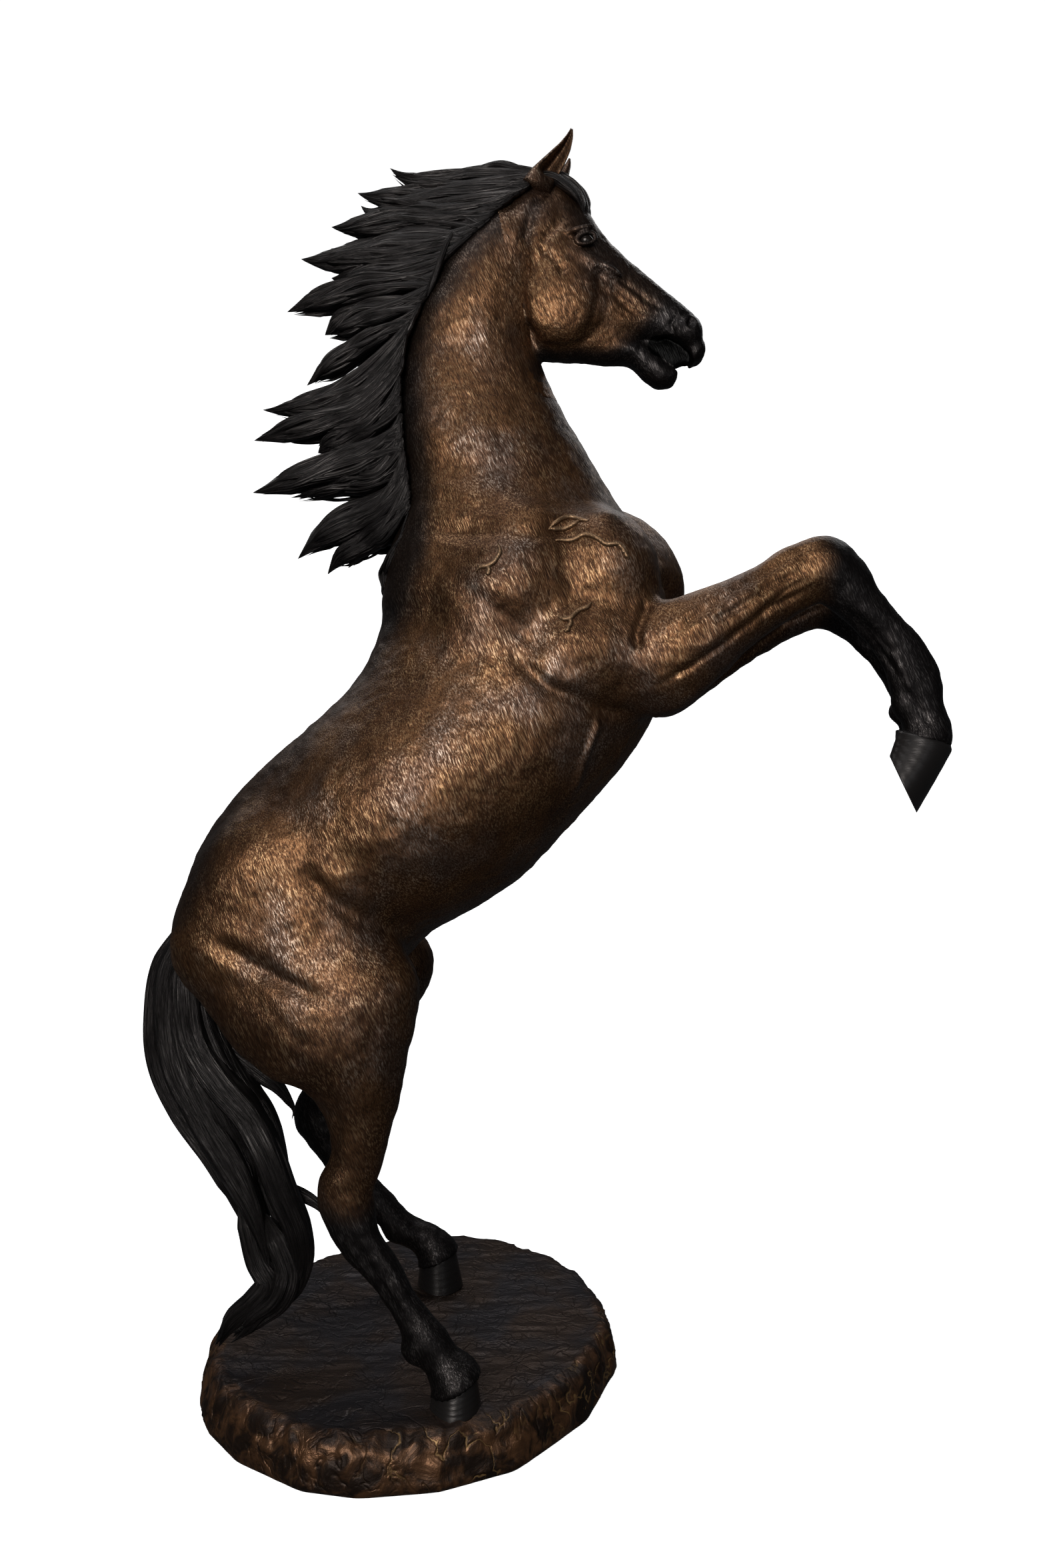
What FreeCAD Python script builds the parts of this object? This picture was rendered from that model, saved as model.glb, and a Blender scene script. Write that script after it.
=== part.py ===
"""Rearing horse cast in bronze on a low rocky base: hollow castings over a steel armature.

Units are millimetres.  +X is the way the horse faces, +Z is up and the horse's mid-plane is Y = 0.
The origin lies on the underside of the base.  The horse's right side is the -Y side.
"""
import math
import os

import FreeCAD
import Part

V = FreeCAD.Vector

# Driving dimensions
WALL = 7.0                 # bronze thickness of the large castings
LIMB_WALL = 6.0            # bronze thickness of the lower legs
RING_POINTS = 14           # points in each cross-section
BASE_TOP = 118.0           # height of the base's standing surface
BASE_WALL = 11.0
PLATE_T = 8.0              # steel plate that closes the base
PLATE_GAP = 2.0
SPINE_R = 30.0             # armature tube in the body
NECK_TUBE_R = 24.0
LEG_BAR_R = 13.0           # armature bar in the legs
FORE_BAR_R = 11.0
PELVIS_R = 42.0            # cross tube that joins the leg bars
PELVIS_HALF = 120.0
ROD_R = 10.0               # anchor rods through the hooves
NUT_AF = 30.0
NUT_H = 16.0
WASHER_R = 26.0
WASHER_T = 4.0
SCREW_R = 5.0
SCREW_HEAD_R = 9.5
SCREW_HEAD_H = 4.5
EYE_R = 25.0

# Plan outline of the base, anticlockwise from the front left
BASE_OUTLINE = [
    (-322, -305), (-172, -404), (-51, -426), (112, -406), (266, -340), (426, -168),
    (506, 20), (502, 170), (450, 345), (338, 468), (205, 556), (13, 590), (-130, 552),
    (-240, 482), (-318, 410), (-428, 245), (-494, 50), (-474, -115), (-420, -218),
]

# Trunk: top point, bottom point (both x, z), half width, egg factor
TRUNK = [
    ((-552, 1075), (-455, 958), 95, 0.0),
    ((-553, 1190), (-300, 925), 205, 0.0),
    ((-517, 1320), (-150, 950), 265, 0.08),
    ((-438, 1444), (-35, 1028), 280, 0.10),
    ((-343, 1547), (65, 1130), 285, 0.10),
    ((-250, 1624), (170, 1188), 298, 0.12),
    ((-170, 1698), (280, 1262), 300, 0.14),
    ((-110, 1770), (382, 1370), 285, 0.18),
    ((-75, 1865), (476, 1470), 262, 0.22),
    ((-42, 1970), (565, 1575), 240, 0.22),
    ((-15, 2060), (650, 1700), 225, 0.18),
    ((15, 2130), (680, 1860), 205, 0.12),
    ((40, 2180), (650, 2020), 180, 0.05),
    ((20, 2220), (530, 2180), 150, 0.0),
]
TRUNK_CUTS = (4, 8)        # stations where the trunk castings are welded together

# Neck: back point, front point, half width, egg factor
NECK = [
    ((20, 2220), (530, 2180), 150, 0.0),
    ((5, 2310), (468, 2285), 130, 0.0),
    ((-8, 2410), (406, 2395), 115, 0.0),
    ((-8, 2520), (348, 2490), 104, 0.0),
    ((15, 2650), (322, 2570), 98, 0.0),
    ((80, 2780), (322, 2650), 92, 0.0),
    ((160, 2880), (330, 2730), 84, 0.0),
]

# Head: face point, jaw point, half width, egg factor
HEAD = [
    ((215, 2935), (328, 2722), 78, 0.0),
    ((300, 3000), (310, 2660), 84, 0.0),
    ((385, 2985), (300, 2600), 92, 0.05),
    ((452, 2925), (318, 2556), 100, 0.10),
    ((492, 2865), (378, 2548), 98, 0.10),
    ((538, 2810), (450, 2556), 84, 0.05),
    ((590, 2762), (530, 2568), 70, 0.0),
    ((645, 2718), (600, 2588), 60, 0.0),
    ((700, 2674), (650, 2560), 58, 0.0),
    ((732, 2636), (672, 2542), 50, 0.0),
    ((740, 2596), (700, 2534), 30, 0.0),
]

# Lower jaw: lip point, chin point, half width, egg factor
JAW = [
    ((530, 2565), (490, 2530), 40, 0.0),
    ((585, 2572), (560, 2512), 44, 0.0),
    ((632, 2556), (618, 2484), 44, 0.0),
    ((666, 2530), (655, 2482), 30, 0.0),
]

# Limbs: centre x, y, z, half depth fore and aft, half width sideways
FORE_RIGHT = [
    (520, -150, 1755, 108, 78),
    (600, -175, 1776, 116, 80),
    (690, -192, 1827, 104, 76),
    (775, -198, 1880, 86, 66),
    (865, -200, 1934, 72, 56),
    (945, -200, 1980, 70, 54),
    (1012, -200, 1972, 68, 52),
    (1074, -200, 1902, 54, 44),
    (1133, -200, 1834, 46, 36),
    (1180, -200, 1768, 48, 36),
    (1206, -200, 1700, 52, 40),
    (1218, -200, 1645, 47, 38),
    (1220, -200, 1588, 58, 50),
]
FORE_LEFT = [
    (560, 150, 1775, 105, 78),
    (652, 175, 1795, 114, 80),
    (755, 192, 1844, 102, 76),
    (861, 198, 1892, 86, 66),
    (975, 200, 1944, 72, 56),
    (1062, 200, 1982, 70, 54),
    (1132, 200, 1974, 68, 52),
    (1195, 200, 1916, 54, 44),
    (1258, 200, 1848, 46, 36),
    (1306, 200, 1782, 48, 36),
    (1337, 200, 1718, 52, 40),
    (1350, 200, 1668, 47, 38),
    (1354, 200, 1612, 58, 50),
]
FORE_CUTS = (5, 12)
# Hoof wall below the coronet: forward offset, height offset, half depth, half width, forward tilt in degrees
FORE_HOOF = [(-14, -40, 61, 56, 33), (-29, -70, 63, 59, 52), (-44, -98, 70, 62, 68)]

HIND_RIGHT = [
    (-250, -165, 1110, 225, 110),
    (-205, -200, 1010, 215, 118),
    (-134, -225, 900, 168, 108),
    (-94, -235, 810, 114, 84),
    (-86, -242, 705, 80, 62),
    (-104, -248, 605, 66, 50),
    (-108, -253, 535, 66, 48),
    (-82, -262, 460, 50, 42),
    (-40, -270, 392, 42, 35),
    (8, -280, 318, 40, 35),
    (62, -289, 250, 48, 41),
    (106, -295, 212, 42, 39),
    (138, -300, 172, 56, 50),
]
HIND_LEFT = [
    (-290, 165, 1110, 225, 110),
    (-235, 200, 1010, 210, 118),
    (-190, 222, 900, 155, 108),
    (-190, 232, 810, 108, 84),
    (-215, 240, 715, 80, 62),
    (-250, 244, 630, 66, 50),
    (-262, 247, 560, 66, 48),
    (-236, 250, 488, 50, 42),
    (-178, 252, 410, 38, 35),
    (-110, 254, 336, 37, 35),
    (-36, 256, 274, 46, 41),
    (12, 257, 240, 42, 39),
    (52, 258, 196, 56, 50),
]
HIND_CUTS = (6, 12)
HIND_HOOF = {
    "right": [(3, -26, 61, 57, -18), (4, -54, 61, 60, 0)],
    "left": [(4, -30, 61, 55, -20), (8, -60, 64, 58, -6), (11, -78, 67, 60, 0)],
}

# Tail: centre x, y, z, half depth, half width
TAIL = [
    (-556, 0, 1110, 34, 34),
    (-580, -5, 1030, 60, 52),
    (-568, -12, 930, 88, 68),
    (-540, -22, 830, 102, 78),
    (-490, -36, 730, 112, 82),
    (-432, -52, 640, 104, 80),
    (-378, -70, 550, 92, 74),
    (-330, -88, 455, 82, 68),
    (-298, -104, 370, 76, 62),
    (-290, -118, 292, 68, 52),
    (-325, -128, 228, 54, 42),
    (-392, -136, 182, 40, 32),
    (-432, -140, 146, 26, 24),
]
TAIL_CUT = 5
TAIL_WISPS = {
    "tail_wisp_upper": [(-500, -30, 850, 34, 26), (-428, -30, 798, 26, 20), (-356, -30, 752, 18, 14),
                        (-302, -30, 708, 11, 9), (-288, -30, 658, 3, 3)],
    "tail_wisp_lower": [(-360, -70, 545, 34, 26), (-300, -76, 515, 26, 18), (-244, -82, 488, 16, 12),
                        (-203, -86, 455, 10, 8), (-178, -89, 402, 3, 3)],
}

# Mane locks: root, middle and tip in the mid-plane (x, z), with half depths there
MANE = {
    "mane_crest": [
        ((262, 2980), (120, 2992), (-36, 3020), 46, 38),
        ((205, 2920), (55, 2938), (-114, 2964), 56, 46),
        ((145, 2855), (-20, 2888), (-180, 2876), 55, 48),
    ],
    "mane_upper": [
        ((85, 2785), (-85, 2808), (-260, 2800), 55, 48),
        ((45, 2705), (-120, 2715), (-300, 2668), 55, 52),
        ((15, 2625), (-100, 2600), (-244, 2490), 52, 50),
    ],
    "mane_middle": [
        ((5, 2540), (-150, 2480), (-356, 2428), 52, 44),
        ((5, 2450), (-160, 2398), (-378, 2340), 55, 48),
        ((10, 2360), (-160, 2300), (-380, 2226), 55, 46),
    ],
    "mane_lower": [
        ((25, 2270), (-130, 2232), (-292, 2198), 42, 34),
        ((20, 2195), (-110, 2150), (-270, 2054), 42, 34),
        ((5, 2130), (-80, 2080), (-194, 2020), 42, 28),
    ],
}
LOCK_HALF_WIDTH = (78, 52, 5)

FORELOCK = [(330, 0, 3020, 20, 45), (392, 0, 2996, 24, 55), (440, 0, 2950, 20, 48), (464, 0, 2896, 6, 18)]
EAR = [(0, 0, 0, 34, 24), (22, 4, 48, 32, 22), (48, 6, 92, 18, 14), (66, 4, 128, 3, 3)]
EAR_ROOT = (338, 58, 2985)
EYE_AT = (440, 74, 2852)
NOSTRIL_AT = (708, 54, 2628)

PELVIS_AT = V(-255, 0, 1120)
SPINE_PATH = [(-225, 0, 1155), (-60, 0, 1320), (120, 0, 1520), (260, 0, 1750), (290, 0, 2000), (262, 0, 2150)]
NECK_PATH = [(262, 0, 2160), (225, 0, 2330), (180, 0, 2520), (182, 0, 2700)]


def ring(centre, across, up, half_width, half_depth, egg=0.0):
    """One closed cross-section; a positive egg factor narrows its top."""
    points = []
    for k in range(RING_POINTS):
        angle = 2 * math.pi * k / RING_POINTS
        s = math.sin(angle)
        points.append(centre + across * (half_width * math.cos(angle) * (1 - egg * s)) + up * (half_depth * s))
    curve = Part.BSplineCurve()
    curve.interpolate(Points=points, PeriodicFlag=True)
    return Part.Wire(curve.toShape())


def span_rings(stations, inset=0.0):
    """Cross-sections that run from a top point to a bottom point in the mid-plane."""
    rings = []
    for (tx, tz), (bx, bz), half_width, egg in stations:
        top = V(tx, 0, tz)
        bottom = V(bx, 0, bz)
        up = (top - bottom).normalize()
        half_depth = (top - bottom).Length / 2
        rings.append(ring((top + bottom) / 2, V(0, 1, 0), up, half_width - inset, half_depth - inset, egg))
    return rings


def path_rings(stations, inset=0.0):
    """Cross-sections square to the line through the station centres."""
    centres = [V(x, y, z) for x, y, z, _, _ in stations]
    last = len(centres) - 1
    rings = []
    for k, (_, _, _, depth, width) in enumerate(stations):
        along = (centres[min(k + 1, last)] - centres[max(k - 1, 0)]).normalize()
        across = (V(0, 1, 0) - along * along.y).normalize()
        rings.append(ring(centres[k], across, along.cross(across), width - inset, max(depth - inset, 1.0)))
    return rings


def loft(rings):
    return Part.makeLoft(rings, True, False)


def largest(shape):
    return max(shape.Solids, key=lambda solid: solid.Volume)


def hollow(rings_of, stations, first, last, wall):
    """Open-ended casting between two stations of a limb."""
    outer = rings_of(stations)[first:last + 1]
    inner = rings_of(stations, wall)[first:last + 1]
    return largest(loft(outer).cut(loft(inner)))


def pipe(points, radius):
    """Round bar along straight runs joined by tangent arcs."""
    corners = [V(*p) for p in points]
    edges = []
    start = corners[0]
    for before, corner, after in zip(corners, corners[1:], corners[2:]):
        into = corner - before
        out = after - corner
        reach = 0.42 * min(into.Length, out.Length)
        into.normalize()
        out.normalize()
        enter = corner - into * reach
        leave = corner + out * reach
        half_turn = into.getAngle(out) / 2
        arc_radius = reach / math.tan(half_turn)
        inward = (out - into).normalize()
        middle = corner + inward * (arc_radius / math.cos(half_turn) - arc_radius)
        edges.append(Part.LineSegment(start, enter).toShape())
        edges.append(Part.Arc(enter, middle, leave).toShape())
        start = leave
    edges.append(Part.LineSegment(start, corners[-1]).toShape())
    profile = Part.Wire(Part.makeCircle(radius, corners[0], (corners[1] - corners[0]).normalize()))
    return Part.Wire(edges).makePipeShell([profile], True, False)


def half_space(station, beyond):
    """A large block on one side of a trunk station's plane."""
    (tx, tz), (bx, bz), _, _ = TRUNK[station]
    up = V(tx - bx, 0, tz - bz).normalize()
    along = up.cross(V(0, 1, 0)) if up.cross(V(0, 1, 0)).z > 0 else V(0, 1, 0).cross(up)
    if not beyond:
        along = along * -1
    centre = V((tx + bx) / 2, 0, (tz + bz) / 2)
    face = Part.makePolygon([centre + up * (2000 * i) + V(0, 2000 * j, 0)
                             for i, j in ((-1, -1), (1, -1), (1, 1), (-1, 1), (-1, -1))])
    return Part.Face(face).extrude(along * 4000)


def hexagon(across_flats, height, at):
    radius = across_flats / math.sqrt(3)
    corners = [at + V(radius * math.cos(k * math.pi / 3), radius * math.sin(k * math.pi / 3), 0) for k in range(7)]
    return Part.Face(Part.makePolygon(corners)).extrude(V(0, 0, height))


def cylinder(radius, height, at):
    return Part.makeCylinder(radius, height, at)


def trunk_castings():
    """Hindquarters, barrel and forequarters, cut from one continuous hollow trunk."""
    outer = loft(span_rings(TRUNK))
    inner = loft(span_rings(TRUNK, WALL)[1:-1])
    shell = outer.cut(inner)
    rear, front = TRUNK_CUTS
    pieces = {
        "hindquarters": largest(shell.cut(half_space(rear, True))),
        "barrel": largest(shell.cut(half_space(rear, False)).cut(half_space(front, True))),
        "forequarters": largest(shell.cut(half_space(front, False))),
    }
    return outer, pieces


def limb_castings(name, stations, cuts, body):
    """Upper and lower castings of one leg; the upper one is trimmed to the trunk."""
    first, last = cuts
    upper = hollow(path_rings, stations, 0, first, LIMB_WALL)
    lower = hollow(path_rings, stations, first, last, LIMB_WALL)
    upper_name, lower_name, side = name
    return {
        f"{upper_name}_{side}": largest(upper.cut(body)),
        f"{lower_name}_{side}": lower,
    }


def hoof_rings(stations, coronet, inset=0.0):
    """Tilted cross-sections of a hoof wall below the coronet centre."""
    x, y, z = coronet
    rings = []
    for dx, dz, half_depth, half_width, tilt in stations:
        angle = math.radians(tilt)
        forward = V(math.cos(angle), 0, -math.sin(angle))
        rings.append(ring(V(x + dx, y, z + dz), V(0, 1, 0), forward, half_width - inset, half_depth - inset))
    return rings


def hoof(stations, leg):
    """A closed hoof below a leg's last section, hollow above a sole plate."""
    coronet = leg[-1][:3]
    outer = path_rings(leg)[-1:] + hoof_rings(stations, coronet)
    inner = path_rings(leg, LIMB_WALL)[-1:] + hoof_rings(stations, coronet, LIMB_WALL)
    tilt = math.radians(stations[-1][4])
    inner[-1] = inner[-1].translated(V(math.sin(tilt), 0, math.cos(tilt)) * LIMB_WALL)
    return largest(loft(outer).cut(loft(inner)))


def base_casting():
    """Hollow rocky base with a rounded upper edge and four screw bosses."""
    def outline(inset, height):
        centre = V(15, 85, height)
        points = []
        for x, y in BASE_OUTLINE:
            out = V(x, y, height) - centre
            points.append(centre + out * ((out.Length - inset) / out.Length))
        curve = Part.BSplineCurve()
        curve.interpolate(Points=points, PeriodicFlag=True)
        return Part.Wire(curve.toShape())

    body = Part.makeLoft([outline(-4, 0), outline(-10, 30), outline(-4, 70)], True, False)
    shoulder = Part.makeLoft([outline(-4, 70), outline(8, 98), outline(32, BASE_TOP)], True, False)
    cavity = Part.Face(outline(BASE_WALL, 0)).extrude(V(0, 0, 70))
    upper_cavity = Part.Face(outline(BASE_WALL + 26, 70)).extrude(V(0, 0, BASE_TOP - BASE_WALL - 70))
    shell = body.fuse(shoulder).cut(cavity).cut(upper_cavity)
    bosses = [cylinder(20, BASE_TOP - PLATE_T - 4, V(x, y, PLATE_T)) for x, y in SCREW_SPOTS]
    shell = shell.fuse(bosses)
    holes = [cylinder(SCREW_R, 60, V(x, y, 0)) for x, y in SCREW_SPOTS]
    plate = Part.Face(outline(BASE_WALL + PLATE_GAP, 0)).extrude(V(0, 0, PLATE_T))
    return largest(shell.cut(Part.makeCompound(holes))), plate


def screw(x, y):
    """Countersunk screw with a hexagon socket, head flush with the underside."""
    head = Part.makeCone(SCREW_HEAD_R, SCREW_R, SCREW_HEAD_H, V(x, y, 0))
    shaft = cylinder(SCREW_R, 45 - SCREW_HEAD_H, V(x, y, SCREW_HEAD_H))
    return head.fuse(shaft).cut(hexagon(5, 2.8, V(x, y, 0)))


def lock(root, middle, tip, root_depth, middle_depth):
    """One tapering lock of the mane."""
    wide, mid, thin = LOCK_HALF_WIDTH
    stations = [
        (root[0], 0, root[1], root_depth, wide),
        (middle[0], 0, middle[1], middle_depth, mid),
        (tip[0], 0, tip[1], 7, thin),
    ]
    return loft(path_rings(stations))


def mane_sections(body):
    sections = {}
    for name, locks in MANE.items():
        parts = [lock(*spec) for spec in locks]
        sections[name] = parts[0].fuse(parts[1:])
    names = list(sections)
    for before, after in zip(names, names[1:]):
        sections[after] = sections[after].cut(sections[before])
    return {name: largest(shape.cut(body)) for name, shape in sections.items()}


def anchors(pieces, bars):
    """Threaded rod, washer and nut that hold each hind hoof to the base."""
    for side, leg in (("right", HIND_RIGHT), ("left", HIND_LEFT)):
        x, y = leg[-1][0] + 10, leg[-1][1]
        under = BASE_TOP - BASE_WALL
        rod = cylinder(ROD_R, 96, V(x, y, under - 36))
        washer = cylinder(WASHER_R, WASHER_T, V(x, y, under - WASHER_T)).cut(rod)
        nut = hexagon(NUT_AF, NUT_H, V(x, y, under - WASHER_T - NUT_H)).cut(rod)
        pieces[f"anchor_rod_{side}"] = rod
        pieces[f"anchor_washer_{side}"] = washer
        pieces[f"anchor_nut_{side}"] = nut
        bars[side] = bars[side].cut(cylinder(ROD_R, 96, V(x, y, under - 36)))
        for node in (f"hind_hoof_{side}", "base_casting", f"hind_cannon_{side}"):
            pieces[node] = largest(pieces[node].cut(rod))


def leg_bar(leg, side):
    """Steel bar from the pelvis tube down the inside of a hind leg."""
    sign = -1 if side == "right" else 1
    x, y, z = PELVIS_AT
    points = [(x, y + sign * PELVIS_HALF, z), (x + 20, y + sign * (PELVIS_HALF + 30), z - 60)]
    points += [station[:3] for station in leg[2:-1]]
    return pipe(points, LEG_BAR_R)


SCREW_SPOTS = [(-300, -150), (330, -90), (300, 330), (-250, 330)]


def build():
    body, pieces = trunk_castings()
    pieces["neck"] = hollow(span_rings, NECK, 0, len(NECK) - 1, WALL)
    neck_outer = loft(span_rings(NECK))
    head_outer = loft(span_rings(HEAD))
    head = head_outer.cut(loft(span_rings(HEAD, WALL)[1:-1]))
    pieces["neck"] = largest(pieces["neck"].cut(head_outer))
    jaw = loft(span_rings(JAW)).cut(head_outer)
    pieces["lower_jaw"] = largest(jaw)

    for side, sign in (("right", -1), ("left", 1)):
        eye = Part.makeSphere(EYE_R, V(EYE_AT[0], sign * EYE_AT[1], EYE_AT[2]))
        pieces[f"eye_{side}"] = eye
        head = head.cut(eye)
        nostril = Part.makeSphere(13, V(NOSTRIL_AT[0], sign * NOSTRIL_AT[1], NOSTRIL_AT[2]))
        head = head.cut(nostril)
        ear = [(EAR_ROOT[0] + x, sign * (EAR_ROOT[1] + y), EAR_ROOT[2] + z, b, a) for x, y, z, b, a in EAR]
        pieces[f"ear_{side}"] = largest(loft(path_rings(ear)).cut(head_outer))
    pieces["head"] = largest(head)

    skull = body.fuse([neck_outer, head_outer])
    forelock = loft(path_rings(FORELOCK)).cut(head_outer)
    for side in ("right", "left"):
        forelock = forelock.cut(pieces[f"ear_{side}"])
    pieces["forelock"] = largest(forelock)
    pieces.update(mane_sections(skull))
    for side in ("right", "left"):
        pieces["mane_crest"] = largest(pieces["mane_crest"].cut(pieces[f"ear_{side}"]))

    fore = {"right": FORE_RIGHT, "left": FORE_LEFT}
    hind = {"right": HIND_RIGHT, "left": HIND_LEFT}
    bars = {}
    for side in ("right", "left"):
        pieces.update(limb_castings(("forearm", "fore_cannon", side), fore[side], FORE_CUTS, body))
        pieces[f"fore_hoof_{side}"] = hoof(FORE_HOOF, fore[side])
        pieces.update(limb_castings(("thigh", "hind_cannon", side), hind[side], HIND_CUTS, body))
        pieces[f"hind_hoof_{side}"] = hoof(HIND_HOOF[side], hind[side])
        bars[side] = leg_bar(hind[side], side)
        pieces[f"armature_foreleg_{side}"] = pipe([s[:3] for s in fore[side][2:-1]], FORE_BAR_R)

    pieces["base_casting"], plate = base_casting()
    screws = {f"plate_screw_{k + 1}": screw(x, y) for k, (x, y) in enumerate(SCREW_SPOTS)}
    pieces["mounting_plate"] = plate.cut(Part.makeCompound([
        cylinder(SCREW_R + 0.5, PLATE_T, V(x, y, 0)).fuse(
            Part.makeCone(SCREW_HEAD_R, SCREW_R, SCREW_HEAD_H, V(x, y, 0)))
        for x, y in SCREW_SPOTS]))
    pieces.update(screws)
    anchors(pieces, bars)

    tail_outer = loft(path_rings(TAIL))
    pieces["tail_upper"] = largest(loft(path_rings(TAIL)[:TAIL_CUT + 1]).cut(body))
    pieces["tail_lower"] = loft(path_rings(TAIL)[TAIL_CUT:])
    for name, stations in TAIL_WISPS.items():
        pieces[name] = largest(loft(path_rings(stations)).cut(tail_outer))
    for side in ("right", "left"):
        leg = loft(path_rings(hind[side])[:HIND_CUTS[0] + 1])
        for name in ("tail_upper", "tail_lower", "tail_wisp_upper", "tail_wisp_lower"):
            pieces[name] = largest(pieces[name].cut(leg))

    pelvis = Part.makeCylinder(PELVIS_R, 2 * PELVIS_HALF, PELVIS_AT - V(0, PELVIS_HALF, 0), V(0, 1, 0))
    spine = pipe(SPINE_PATH, SPINE_R).cut(pelvis)
    pieces["armature_pelvis"] = pelvis
    pieces["armature_spine"] = largest(spine)
    pieces["armature_neck"] = largest(pipe(NECK_PATH, NECK_TUBE_R).cut(spine))
    for side, bar in bars.items():
        pieces[f"armature_leg_{side}"] = largest(bar.cut(pelvis))
        clearance = leg_bar(hind[side], side)
        pieces["hindquarters"] = largest(pieces["hindquarters"].cut(clearance))
    return pieces


os.makedirs("parts", exist_ok=True)
for node, shape in build().items():
    shape.exportStep(os.path.join("parts", f"{node}.step"))
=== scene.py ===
"""Looks of a rearing bronze horse.  Metres; +X is the way the horse faces, +Z up, -Y its right side."""
import math

import bmesh
import bpy
import numpy as np
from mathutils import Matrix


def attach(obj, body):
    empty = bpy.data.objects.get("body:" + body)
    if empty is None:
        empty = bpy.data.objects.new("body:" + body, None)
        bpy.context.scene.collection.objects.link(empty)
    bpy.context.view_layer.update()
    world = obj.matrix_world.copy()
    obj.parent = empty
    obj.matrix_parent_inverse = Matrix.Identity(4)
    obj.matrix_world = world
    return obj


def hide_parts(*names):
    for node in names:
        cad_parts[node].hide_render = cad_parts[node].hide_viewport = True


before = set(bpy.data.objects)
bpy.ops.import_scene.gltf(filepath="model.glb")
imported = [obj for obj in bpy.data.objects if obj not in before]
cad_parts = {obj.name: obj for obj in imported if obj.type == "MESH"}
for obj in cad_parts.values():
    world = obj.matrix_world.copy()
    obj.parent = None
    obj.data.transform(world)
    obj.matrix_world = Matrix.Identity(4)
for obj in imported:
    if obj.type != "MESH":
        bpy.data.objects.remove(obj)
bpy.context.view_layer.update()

import openvdb
from mathutils import Vector

VOXEL = 0.0055            # grid step of the body's shape
HEAD_VOXEL = 0.0028       # and of the head's
CAP_REACH = 0.05                                   # how far a strip's rounded end swells, at most
TINY = 1e-9
EYE_POINT = (0.288, -2.617, 1.49)                  # where the viewer stands
SENSOR = 36.0                                      # millimetres, along the frame's height
FOCAL_RATIO = 1570 / 2352                          # focal length over the frame's height


# ---------------------------------------------------------------- curves

def chord(points):
    """Length along a polyline at each of its points."""
    return np.concatenate([[0], np.cumsum(np.linalg.norm(np.diff(points, axis=0), axis=1))])


def unit(vectors, least=0.0):
    return vectors / (np.linalg.norm(vectors, axis=1)[:, None] + least)


def ramp(value, start, end):
    s = np.clip((value - start) / (end - start), 0, 1)
    return s * s * (3 - 2 * s)


def turned(u, v, degrees):
    cs, sn = math.cos(math.radians(degrees)), math.sin(math.radians(degrees))
    return u * cs + v * sn, -u * sn + v * cs


def circle(count):
    return 2 * math.pi * np.arange(count) / count


def hermite(rows, knots, grid):
    """Smooth values at grid between rows that stand at knots."""
    slope = np.gradient(rows, knots, axis=0)
    k = np.clip(np.searchsorted(knots, grid, side="right") - 1, 0, len(knots) - 2)
    h = (knots[k + 1] - knots[k])[:, None]
    s = (grid - knots[k])[:, None] / h
    return ((2 * s**3 - 3 * s**2 + 1) * rows[k] + (s**3 - 2 * s**2 + s) * h * slope[k]
            + (3 * s**2 - 2 * s**3) * rows[k + 1] + (s**3 - s**2) * h * slope[k + 1])


def along_points(points):
    """A smooth path through 3-D points, as a function of 0..1."""
    points = np.asarray(points, float)
    knots = chord(points)
    return lambda t: hermite(points, knots, t * knots[-1])


def bezier(*ps):
    """A cubic through four control points, as a function of 0..1."""
    p0, p1, p2, p3 = (np.asarray(p, float)[None, :] for p in ps)

    def at(t):
        t = t[:, None]
        return (1 - t)**3 * p0 + 3 * (1 - t)**2 * t * p1 + 3 * (1 - t) * t**2 * p2 + t**3 * p3
    return at


def relaxed(path, rounds):
    """The path with its inner points smoothed."""
    for _ in range(rounds):
        path[1:-1] = (path[:-2] + 2 * path[1:-1] + path[2:]) / 4
    return path


# ---------------------------------------------------------------- shape fields

def spans(rows):
    """Station rows (top x, z, bottom x, z, half width, centre y, egg) of a shape centred on y = 0."""
    return np.insert(np.asarray(rows, float), 5, 0, axis=1)


def limb(rows):
    """The same from centres: x, y, z, half depth, half width."""
    rows = np.asarray(rows, float)
    centre = rows[:, [0, 2]]
    along = unit(np.gradient(centre, axis=0))
    up = np.stack([-along[:, 1], along[:, 0]], 1)
    top = centre + up * rows[:, 3:4]
    bottom = centre - up * rows[:, 3:4]
    zero = np.zeros(len(rows))
    return np.column_stack([top, bottom, rows[:, 4], rows[:, 1], zero])


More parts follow.
